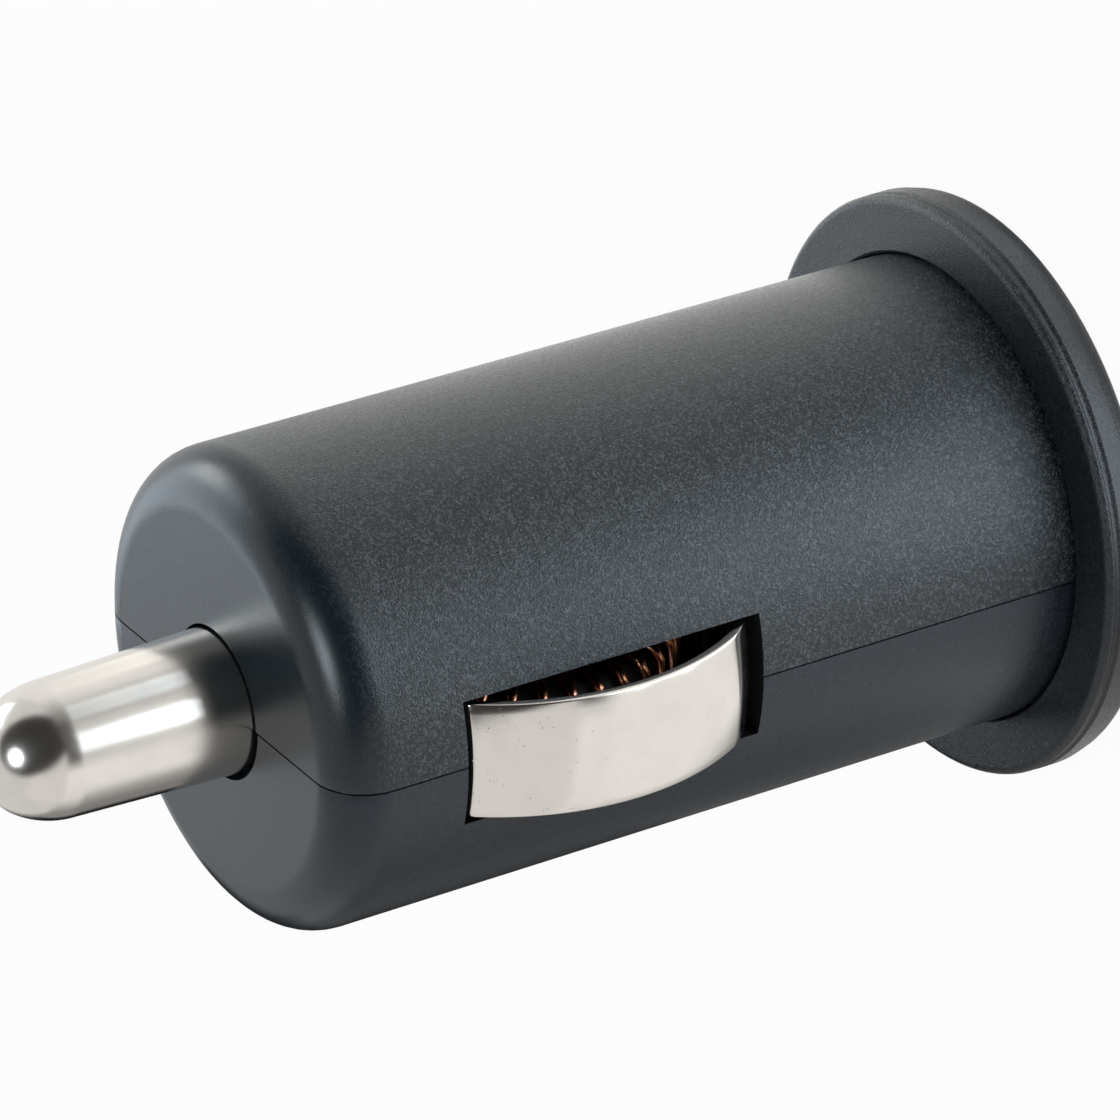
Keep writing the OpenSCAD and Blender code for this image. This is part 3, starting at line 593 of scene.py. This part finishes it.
def winding_tree():
    """Turns of round wire about a ring core that lies flat on the board, with two leads."""
    tree, given = new_tree("Ring winding", [
        ("Turns", "NodeSocketInt", 31),
        ("Steps", "NodeSocketInt", 28),
        ("Wire", "NodeSocketFloat", 0.45 * MM),
        ("Ring radius", "NodeSocketFloat", 5.35 * MM),
        ("Half width", "NodeSocketFloat", 1.735 * MM),
        ("Half height", "NodeSocketFloat", 2.335 * MM),
        ("Squareness", "NodeSocketFloat", 6.0),
        ("Wound part", "NodeSocketFloat", math.radians(325)),
        ("Unevenness", "NodeSocketFloat", 0.02),
        ("Centre", "NodeSocketVector", (0, 0, 0)),
        ("Lead foot", "NodeSocketFloat", -6.6 * MM),
        ("Seed", "NodeSocketInt", 4),
        ("Finish", "NodeSocketMaterial", None)])
    centre = given["Centre"]
    loops = reckon(tree, "SUBTRACT", given["Turns"], 0.25)
    curve, loop, part = stepped_curve(tree, loops, given["Steps"])
    around = product(tree, loop, math.tau)
    across, up = reckon(tree, "COSINE", around), reckon(tree, "SINE", around)
    powers = [reckon(tree, "POWER", reckon(tree, "ABSOLUTE", v), given["Squareness"]) for v in (across, up)]
    root = reckon(tree, "DIVIDE", -1.0, given["Squareness"])
    scale = reckon(tree, "POWER", reckon(tree, "ADD", *powers), root)
    outward = product(tree, across, scale, given["Half width"])
    upward = product(tree, up, scale, given["Half height"])
    first = product(tree, reckon(tree, "SUBTRACT", math.tau, given["Wound part"]), 0.5)
    drift = add(tree, "ShaderNodeTexNoise", {
        "W": reckon(tree, "ADD", loop, given["Seed"]), "Scale": 0.9, "Detail": 1.0}, noise_dimensions="1D")
    swing = product(tree, reckon(tree, "SUBTRACT", drift.outputs[0], 0.5), given["Unevenness"])
    fade = product(tree, part, reckon(tree, "SUBTRACT", 1.0, part), 4.0)
    even = reckon(tree, "MULTIPLY_ADD", part, given["Wound part"], first)
    angle = reckon(tree, "ADD", even, product(tree, swing, fade))
    reach = reckon(tree, "ADD", given["Ring radius"], outward)
    side = product(tree, reach, reckon(tree, "SINE", angle))
    down = product(tree, reach, reckon(tree, "COSINE", angle), -1.0)
    wound = add(tree, "GeometryNodeSetPosition", {
        "Geometry": curve, "Position": placed(tree, centre, upward, side, down)})
    rim = reckon(tree, "ADD", given["Ring radius"], given["Half width"])
    curves = [wound.outputs[0]]
    for sign, height in ((1.0, 0.0), (-1.0, -1.0)):
        level = product(tree, given["Half height"], height)
        start, knee = (placed(
            tree, centre, level,
            product(tree, radius, reckon(tree, "SINE", first), sign),
            product(tree, radius, reckon(tree, "COSINE", first), -1.0))
            for radius in (given["Ring radius"], rim))
        parts = add(tree, "ShaderNodeSeparateXYZ", {0: knee}).outputs
        foot = add(tree, "ShaderNodeCombineXYZ", {0: given["Lead foot"], 1: parts[1], 2: parts[2]}).outputs[0]
        for begin, finish in ((foot, knee),) if sign > 0 else ((start, knee), (knee, foot)):
            line = add(tree, "GeometryNodeCurvePrimitiveLine", {"Start": begin, "End": finish})
            curves.append(line.outputs[0])
    joined = add(tree, "GeometryNodeJoinGeometry")
    for made in curves:
        tree.links.new(made, joined.inputs[0])
    return end_tree(tree, joined.outputs[0], given["Wire"], 12, given["Finish"])


def spring_tree():
    """A coil spring along Z, with its end turns closed up."""
    tree, given = new_tree("Coil spring", [
        ("Turns", "NodeSocketInt", 7),
        ("Steps", "NodeSocketInt", 36),
        ("Wire", "NodeSocketFloat", 0.4 * MM),
        ("Radius", "NodeSocketFloat", 1.75 * MM),
        ("Low", "NodeSocketFloat", 33.1 * MM),
        ("High", "NodeSocketFloat", 40.2 * MM),
        ("Closed ends", "NodeSocketFloat", 0.55),
        ("Finish", "NodeSocketMaterial", None)])
    curve, loop, part = stepped_curve(tree, given["Turns"], given["Steps"])
    angle = product(tree, loop, math.tau)
    eased = add(tree, "ShaderNodeMapRange", {"Value": part}, interpolation_type="SMOOTHSTEP").outputs[0]
    rise = reckon(tree, "MULTIPLY_ADD", reckon(tree, "SUBTRACT", eased, part), given["Closed ends"], part)
    tall = reckon(tree, "SUBTRACT", given["High"], given["Low"])
    point = add(tree, "ShaderNodeCombineXYZ", {
        0: product(tree, given["Radius"], reckon(tree, "COSINE", angle)),
        1: product(tree, given["Radius"], reckon(tree, "SINE", angle)),
        2: reckon(tree, "MULTIPLY_ADD", rise, tall, given["Low"])}).outputs[0]
    coil = add(tree, "GeometryNodeSetPosition", {"Geometry": curve, "Position": point})
    return end_tree(tree, coil.outputs[0], given["Wire"], 14, given["Finish"])


class CHARGER_OT_shells(bpy.types.Operator):
    """Give both half shells, the collar and the rear plate their rounded edges and grained plastic"""
    bl_idname = "charger.shells"
    bl_label = "Shells and collar"

    def execute(self, context):
        chosen = context.scene.charger_shell
        main = plastic("Main plastic", tuple(chosen.main_colour), chosen)
        cover = plastic("Cover plastic", tuple(chosen.cover_colour), chosen, grain=0.35, painted_glint=0.2)
        # Painted shade: a near-black plastic that barely reflects, for the shells' insides and window walls,
        # where shade falls.
        painted_shade = Finish("Painted shade plastic", (0.004, 0.005, 0.006), 0.8, Specular_IOR_Level=0.12).material
        collar = plastic("Collar plastic", dimmed(chosen.cover_colour, 0.4), chosen, grain=0.9, painted_glint=0.16)
        parts = (("main_shell", main), ("cover_shell", cover), ("collar_cap", collar), ("face_plate", collar))
        for node, finish in parts:
            piece = finished_copy(node, finish, "shell_plastic", chosen.edge_round)
            if node.endswith("shell"):
                paint_recess_shade(piece.data, painted_shade)
        return {"FINISHED"}


def paint_recess_shade(mesh, painted_shade):
    """Paints shade into the inside of a shell and the walls of its windows: a near-black plastic that barely
    reflects stands in for the shadow there.
    """
    skin = 0.2 * MM
    outside = max(math.hypot(vertex.co.x, vertex.co.y) for vertex in mesh.vertices)
    nose_root = NOSE_FACE - 4 * MM
    mesh.materials.append(painted_shade)
    for face in mesh.polygons:
        inside = math.hypot(face.center.x, face.center.y) < outside - skin
        if inside and face.center.z < nose_root:
            face.material_index = 1


class CHARGER_OT_pin(bpy.types.Operator):
    """Turn the centre pin with its tapered shank and two-arc nose"""
    bl_idname = "charger.pin"
    bl_label = "Centre pin"

    def execute(self, context):
        chosen = context.scene.charger_pin
        nose_r = chosen.nose_diameter / 2
        nose_z = PIN_TIP - chosen.nose_length
        bore_r = chosen.bore_diameter / 2
        bore_top = PIN_LOW + chosen.bore_depth
        collar_r = chosen.collar_diameter / 2
        collar_top = PIN_LOW + chosen.collar_thickness
        shank = [
            (0, bore_top), (bore_r, bore_top), (bore_r, PIN_LOW), (collar_r, PIN_LOW), (collar_r, collar_top),
            (chosen.base_diameter / 2, collar_top), (chosen.base_diameter / 2, NOSE_FACE), (nose_r, nose_z)]
        outline = rounded_profile(shank, chosen.edge_round)
        outline += nose_arcs(nose_r, nose_z, chosen.nose_length)
        finish = nickel("Pin nickel", tuple(chosen.nickel), 0.2)
        piece = new_object("pin", turned("pin", outline, 160), [finish])
        shade(piece.data, 50)
        seat(piece, "pin", "nickel", "centre_pin")
        return {"FINISHED"}


def nose_arcs(nose_r, nose_z, reach, steps=20):
    """The shoulder arc and the tip arc that meet at one tangent, from the shank to the tip."""
    shoulder_r = reach * reach / nose_r
    shoulder_x = nose_r - shoulder_r
    tip_r = (shoulder_r ** 2 - shoulder_x ** 2 - reach ** 2) / (2 * (shoulder_r - reach))
    tip_y = reach - tip_r
    meet = math.atan2(tip_y, -shoulder_x)
    points = []
    for step in range(1, steps + 1):
        angle = meet * step / steps
        points.append((shoulder_x + shoulder_r * math.cos(angle), nose_z + shoulder_r * math.sin(angle)))
    for step in range(1, steps + 1):
        angle = meet + (math.pi / 2 - meet) * step / steps
        radius = tip_r * math.cos(angle) if step < steps else 0
        points.append((radius, nose_z + tip_y + tip_r * math.sin(angle)))
    return points


class CHARGER_OT_side_contacts(bpy.types.Operator):
    """Bend both bow contacts from sheet, crowned across their width, with stamped edges"""
    bl_idname = "charger.side_contacts"
    bl_label = "Side contacts"

    def execute(self, context):
        chosen = context.scene.charger_contact
        colour = tuple(context.scene.charger_pin.nickel)
        for side, sign in (("left", -1), ("right", 1)):
            node = "side_contact_" + side
            low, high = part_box(node)
            pits = (high.z - 9 * MM, high.z - 3.5 * MM)
            finish = nickel("Contact nickel " + side, colour, 0.16, pits)
            piece = new_object("bow_contact_" + side, bow_mesh(chosen, low.z, high.z, sign), [finish])
            shade(piece.data, 45)
            seat(piece, side + "_contact", "nickel", node)
        return {"FINISHED"}


def bow_mesh(chosen, rear_end, front_end, sign):
    """One bow contact: a thin rounded section swept along feet, legs, bow and fold."""
    foot_r, foot_length = chosen.foot_distance, 1.8 * MM
    front_leg = front_end - foot_length
    rear_leg = rear_end + foot_length
    bow_mid = chosen.bow_radius - chosen.thickness / 2
    top = Vector((chosen.bow_centre, chosen.bow_height))
    start = math.asin((front_leg - top.y) / bow_mid)
    finish = math.asin((chosen.fold_height - top.y) / bow_mid)
    steps = 72
    angles = [start + (finish - start) * k / steps for k in range(steps + 1)]
    bow = [top + bow_mid * Vector((math.cos(a), math.sin(a))) for a in angles]
    front = [Vector((foot_r, front_end)), Vector((foot_r, front_leg)), bow[0]]
    rear = [bow[-1], Vector((chosen.bend_radius, rear_leg))]
    rear += [Vector((foot_r, rear_leg)), Vector((foot_r, rear_end))]
    trim = 3
    path = bends(front + [bow[trim]], chosen.corner_round)[:-1]
    path += bow[trim:-trim]
    path += bends([bow[-trim - 1]] + rear, chosen.corner_round)[1:]
    return sheet_mesh("bow_contact", path, chosen, sign)


def bends(points, radius, steps=5):
    """A path whose corners are rounded by quadratic curves."""
    return rounded_profile(points, radius * 1.2, steps)


def sheet_mesh(name, path, chosen, sign):
    """Sweeps the sheet's rounded section along a path of distance and height, crowned like the barrel."""
    half_w, half_t, edge = chosen.width / 2, chosen.thickness / 2, chosen.edge_round
    across = 14
    flat = half_w - edge
    corner = [math.radians(30 * k) for k in range(4)]
    half = [(flat * (2 * k / across - 1), half_t) for k in range(across + 1)]
    half += [(flat + edge * math.sin(a), half_t - edge + edge * math.cos(a)) for a in corner[1:]]
    half += [(flat + edge * math.cos(a), edge - half_t - edge * math.sin(a)) for a in corner[:-1]]
    section = half + [(-u, -off) for u, off in half]
    work = bmesh.new()
    rings = []
    for k, point in enumerate(path):
        before, after = path[max(k - 1, 0)], path[min(k + 1, len(path) - 1)]
        along = (after - before).normalized()
        outward = Vector((-along.y, along.x))
        ring = []
        for u, off in section:
            r, z = point + outward * off
            ring.append(work.verts.new((u, sign * math.sqrt(r * r - u * u), z)))
        rings.append(ring)
    size = len(section)
    for low, high in zip(rings, rings[1:]):
        for k in range(size):
            after = (k + 1) % size
            work.faces.new((low[k], low[after], high[after], high[k]))
    work.faces.new(rings[0])
    work.faces.new(rings[-1])
    return closed_mesh(name, work)


class CHARGER_OT_choke(bpy.types.Operator):
    """Wind the copper round the ring core"""
    bl_idname = "charger.choke"
    bl_label = "Choke"

    def execute(self, context):
        chosen = context.scene.charger_winding
        low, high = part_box("choke_core")
        centre = (low + high) / 2
        wall = (chosen.core_diameter - chosen.hole_diameter) / 2
        grow = chosen.wire / 2 + chosen.slack
        piece = grown("winding", winding_tree(), {
            "Turns": chosen.turns, "Steps": 28, "Wire": chosen.wire,
            "Ring radius": (chosen.core_diameter + chosen.hole_diameter) / 4,
            "Half width": wall / 2 + grow, "Half height": chosen.core_height / 2 + grow,
            "Squareness": 6.0, "Wound part": chosen.wound, "Unevenness": chosen.unevenness,
            "Centre": centre, "Lead foot": BOARD_LOW - 0.6 * MM, "Seed": 4,
            "Finish": enamel("Enamelled copper", tuple(chosen.copper))})
        seat(piece, "charger", "copper", "choke_winding")
        core = moulded("Coated ferrite", (0.030, 0.030, 0.032), 0.55, 0.3 * MM, 0.02 * MM)
        finished_copy("choke_core", core, "ferrite")
        return {"FINISHED"}


class CHARGER_OT_spring(bpy.types.Operator):
    """Coil the pin spring and finish its terminal and the contact posts"""
    bl_idname = "charger.spring"
    bl_label = "Spring and terminals"

    def execute(self, context):
        chosen = context.scene.charger_spring
        low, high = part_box("pin_spring")
        piece = grown("coil_spring", spring_tree(), {
            "Turns": chosen.turns, "Steps": 36, "Wire": chosen.wire,
            "Radius": (chosen.outside - chosen.wire) / 2,
            "Low": low.z + chosen.wire / 2, "High": high.z - chosen.wire / 2, "Closed ends": 0.55,
            "Finish": dull_metal("Spring steel", (0.55, 0.54, 0.52), 0.28)})
        seat(piece, "charger", "spring_steel", "pin_spring")
        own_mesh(piece)
        brass = dull_metal("Stamped brass", (0.72, 0.52, 0.22), 0.3)
        for node in ("spring_terminal", "contact_post_left", "contact_post_right"):
            finished_copy(node, brass, "brass", 0.04 * MM)
        return {"FINISHED"}


class CHARGER_OT_board(bpy.types.Operator):
    """Finish the circuit board and everything soldered to it"""
    bl_idname = "charger.board"
    bl_label = "Board and parts"

    def execute(self, context):
        black = moulded("Chip black", (0.018, 0.018, 0.019), 0.45, 0.12 * MM)
        ceramic = moulded("Chip ceramic", (0.42, 0.31, 0.19), 0.5, 0.2 * MM)
        sleeve = moulded("Can sleeve", (0.012, 0.018, 0.05), 0.3, 0.5 * MM)
        tin = dull_metal("Bright solder", (0.62, 0.62, 0.60), 0.25, 0.2 * MM)
        finished_copy("circuit_board", solder_mask("Solder mask"), "board")
        for node in ("controller_chip", "rectifier_diode", "chip_resistors"):
            finished_copy(node, black, "chip_black", 0.04 * MM)
        for node in ("chip_fuse", "chip_capacitors", "status_led"):
            finished_copy(node, ceramic, "chip_ceramic", 0.04 * MM)
        for node in ("input_capacitor", "output_capacitor"):
            finished_copy(node, sleeve, "can_sleeve", 0.05 * MM)
        finished_copy("solder_joints", tin, "solder")
        return {"FINISHED"}


class CHARGER_OT_port(bpy.types.Operator):
    """Finish the USB port: its folded shell, its tongue and its contacts"""
    bl_idname = "charger.port"
    bl_label = "USB port"

    def execute(self, context):
        steel = dull_metal("Port steel", (0.62, 0.61, 0.59), 0.2)
        white = moulded("Port insulator", (0.72, 0.72, 0.70), 0.4)
        gold = dull_metal("Gold flash", (0.86, 0.62, 0.26), 0.22)
        finished_copy("usb_shell", steel, "port_steel", 0.04 * MM)
        finished_copy("usb_tongue", white, "port_insulator", 0.05 * MM)
        finished_copy("usb_contacts", gold, "gold", 0.03 * MM)
        return {"FINISHED"}


class CHARGER_OT_status_light(bpy.types.Operator):
    """Finish the clear window of the status light"""
    bl_idname = "charger.status_light"
    bl_label = "Status light"

    def execute(self, context):
        finished_copy("led_lens", clear("Clear window", (0.86, 0.92, 0.95)), "light_lens", 0.05 * MM)
        return {"FINISHED"}


class CHARGER_OT_stage(bpy.types.Operator):
    """Lay the floor, hang the soft lights and set the camera"""
    bl_idname = "charger.stage"
    bl_label = "Floor, light and camera"

    def execute(self, context):
        chosen = context.scene.charger_stage
        black_flag()
        lay_floor(chosen)
        light_sky(chosen.sky, chosen.walls)
        aim, lift = Vector((0, 0, 20 * MM)), Vector((0, 0, 0.2 * MM))
        for name, shape, azimuth, elevation, distance, width, height, setting, colour in SOFT_BOXES:
            lamp = area_light(name, shape, width, height, getattr(chosen, setting), colour)
            back = direction(azimuth, elevation)
            lamp.location = aim + back * distance
            lamp.rotation_euler = back.to_track_quat("Z", "Y").to_euler()
        for name, azimuth, start, end, wide, part, colour in LOW_CARDS:
            lamp = area_light(name, "RECTANGLE", (end - start) * MM, wide * MM, part * chosen.card, colour)
            lamp.visible_camera = False
            lamp.location = direction(azimuth) * ((start + end) / 2 * MM) + lift
            lamp.rotation_euler = (math.pi, 0, math.radians(azimuth))
        set_camera(chosen)
        context.scene.view_settings.view_transform = "Standard"
        return {"FINISHED"}


def lay_floor(chosen):
    """A wide pale floor, clear from below and open under the collar, that shows almost white from above."""
    inner, outer, count, drop = RIM_RADIUS - 0.6 * MM, 3.0, 96, -0.02 * MM
    angles = [math.tau * k / count for k in range(count)]
    corners = [(r * math.cos(a), r * math.sin(a), drop) for r in (inner, outer) for a in angles]
    faces = [(k, count + k, count + (k + 1) % count, (k + 1) % count) for k in range(count)]
    mesh = bpy.data.meshes.new("floor")
    mesh.from_pydata(corners, [], faces)
    made = Finish("Pale floor", tuple(chosen.floor), 0.9, Specular_IOR_Level=0.0)
    made.clouded(made.noise(40 * MM, 2), 0, 1, tuple(chosen.floor), 0.985)
    tree = made.tree
    rays = add(tree, "ShaderNodeLightPath").outputs
    shining = reckon(tree, "MAXIMUM", rays["Is Glossy Ray"], rays["Is Transmission Ray"])
    glow = add(tree, "ShaderNodeMix", {0: shining, 2: 1.0, 3: grey_sectors(made)}).outputs[0]
    white = add(tree, "ShaderNodeEmission", {"Color": (1, 1, 1, 1), "Strength": glow}).outputs[0]
    seen = reckon(tree, "MULTIPLY", rays["Is Camera Ray"], chosen.backdrop)
    seen = reckon(tree, "MAXIMUM", seen, reckon(tree, "MULTIPLY", shining, chosen.mirrored))
    mixed = add(tree, "ShaderNodeMixShader", {0: seen, 1: made.shader.outputs[0], 2: white})
    below = add(tree, "ShaderNodeNewGeometry").outputs["Backfacing"]
    glass = add(tree, "ShaderNodeBsdfTransparent").outputs[0]
    sheet = add(tree, "ShaderNodeMixShader", {0: below, 1: mixed.outputs[0], 2: glass})
    tree.links.new(sheet.outputs[0], tree.nodes["Material Output"].inputs["Surface"])
    new_object("floor", mesh, [made.material])


def grey_sectors(made):
    """Brightness of the floor in reflections: white, with soft grey sectors round the object."""
    gradient = add(made.tree, "ShaderNodeTexGradient", {"Vector": made.place}, gradient_type="RADIAL")
    around = gradient.outputs["Fac"]
    near = ramp(made.tree, around, (
        (-180, 0.25), (-158, 0.4), (-138, 1.0), (-32, 1.0), (-18, 0.45), (-6, 0.45), (16, 1.0),
        (124, 0.9), (140, 0.25)))
    far = ramp(made.tree, around, (
        (-180, 0.3), (-150, 0.9), (-104, 1.0), (-84, 0.12), (-28, 0.12), (0, 0.45), (30, 1.0),
        (124, 0.9), (140, 0.3)))
    reach = add(made.tree, "ShaderNodeVectorMath", {0: made.place}, operation="LENGTH").outputs["Value"]
    outer = made.remap(reach, 105 * MM, 150 * MM)
    return add(made.tree, "ShaderNodeMix", {0: outer, 2: near, 3: far}).outputs[0]


def ramp(tree, factor, stops):
    """A level that changes with the angle round Z, from stops in degrees."""
    made = add(tree, "ShaderNodeValToRGB", {"Fac": factor})
    points = made.color_ramp.elements
    while len(points) < len(stops):
        points.new(0.5)
    for point, (degrees, level) in zip(points, stops):
        point.position = degrees / 360 + 0.5
        point.color = (level, level, level, 1)
    return made.outputs["Color"]


def light_sky(strength, walls):
    """Even light from all round, white to the camera; reflections show pale walls with one dark opening."""
    world = bpy.data.worlds.new("Studio")
    bpy.context.scene.world = world
    world.use_nodes = True
    tree = world.node_tree
    rays = add(tree, "ShaderNodeLightPath").outputs
    looking = add(tree, "ShaderNodeTexCoord").outputs["Generated"]
    opening, outer_edge, inner_edge, dark = direction(-37, 41), 0.59, 0.69, 0.04
    facing = add(tree, "ShaderNodeVectorMath", {0: looking, 1: opening}, operation="DOT_PRODUCT")
    seen = add(tree, "ShaderNodeMapRange", {
        "Value": facing.outputs["Value"], "From Min": outer_edge, "From Max": inner_edge,
        "To Min": walls, "To Max": dark})
    lit = add(tree, "ShaderNodeMix", {0: rays["Is Glossy Ray"], 2: strength, 3: seen.outputs[0]}).outputs[0]
    level = add(tree, "ShaderNodeMix", {0: rays["Is Camera Ray"], 2: lit, 3: 1.0}).outputs[0]
    background = tree.nodes["Background"]
    background.inputs["Color"].default_value = (1, 1, 1, 1)
    tree.links.new(level, background.inputs["Strength"])


def area_light(name, shape, width, height, brightness, colour):
    """A soft light whose brightness, seen from the front, doesn't change with its size."""
    data = bpy.data.lights.new(name, "AREA")
    data.shape = shape
    data.size, data.size_y = width, height
    data.energy = brightness * math.pi * width * height
    data.color = colour
    lamp = bpy.data.objects.new(name, data)
    bpy.context.scene.collection.objects.link(lamp)
    return lamp


def black_flag():
    """A black card that only reflections see, so that the collar's far side stays deep."""
    back, across = direction(121.7), direction(-148.3)
    distance, near_side, far_side, tall = 35 * MM, 9 * MM, 28 * MM, 42 * MM
    corners = [distance * back + side * across + Vector((0, 0, top)) for side, top in (
        (near_side, 0), (far_side, 0), (far_side, tall), (near_side, tall))]
    mesh = bpy.data.meshes.new("flag")
    mesh.from_pydata(corners, [], [(0, 1, 2, 3)])
    black = Finish("Black card", (0.004, 0.004, 0.004), 1.0, Specular_IOR_Level=0.0).material
    card = new_object("flag", mesh, [black])
    card.visible_camera = False
    card.visible_diffuse = False
    card.visible_shadow = False


def set_camera(chosen):
    """The camera at the photograph's angle, rolled so that the pin points down to the left."""
    a, e = chosen.azimuth, chosen.elevation
    back = Vector((math.sin(a) * math.cos(e), -math.cos(a) * math.cos(e), math.sin(e)))
    right = Vector((math.cos(a), math.sin(a), 0))
    up = back.cross(right)
    tilted = right * math.cos(chosen.roll) + up * math.sin(chosen.roll)
    aim = Vector((0.986, 1.345, 20.590)) * MM
    data = bpy.data.cameras.new("Camera")
    data.lens = chosen.lens
    data.sensor_width = 36
    data.clip_start, data.clip_end = 0.01, 20
    camera = bpy.data.objects.new("Camera", data)
    camera.matrix_world = Matrix.Translation(aim + back * chosen.distance) @ Matrix(
        (tilted, back.cross(tilted), back)).transposed().to_4x4()
    bpy.context.scene.collection.objects.link(camera)
    bpy.context.scene.camera = camera


class CHARGER_PT_panel(bpy.types.Panel):
    """The charger's pieces, in the order in which they are made"""
    bl_idname = "CHARGER_PT_panel"
    bl_label = "Socket charger"
    bl_space_type = "VIEW_3D"
    bl_region_type = "UI"
    bl_category = "Charger"

    def draw(self, context):
        for group in SETTINGS:
            box = self.layout.box()
            settings = getattr(context.scene, group)
            for key in settings.__annotations__:
                box.prop(settings, key)
        for operator in OPERATORS:
            self.layout.operator(operator.bl_idname)


SETTINGS = {
    "charger_shell": ShellSettings,
    "charger_pin": PinSettings,
    "charger_contact": ContactSettings,
    "charger_winding": WindingSettings,
    "charger_spring": SpringSettings,
    "charger_stage": StageSettings,
}
OPERATORS = (
    CHARGER_OT_shells, CHARGER_OT_pin, CHARGER_OT_side_contacts, CHARGER_OT_choke, CHARGER_OT_spring,
    CHARGER_OT_board, CHARGER_OT_port, CHARGER_OT_status_light, CHARGER_OT_stage)


def register():
    for group, kind in SETTINGS.items():
        bpy.utils.register_class(kind)
        setattr(bpy.types.Scene, group, PointerProperty(type=kind))
    for kind in (*OPERATORS, CHARGER_PT_panel):
        bpy.utils.register_class(kind)


def unregister():
    for kind in (CHARGER_PT_panel, *reversed(OPERATORS)):
        bpy.utils.unregister_class(kind)
    for group, kind in SETTINGS.items():
        delattr(bpy.types.Scene, group)
        bpy.utils.unregister_class(kind)


def main():
    register()
    for operator in OPERATORS:
        family, name = operator.bl_idname.split(".")
        getattr(getattr(bpy.ops, family), name)()
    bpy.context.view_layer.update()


if __name__ == "__main__":
    main()
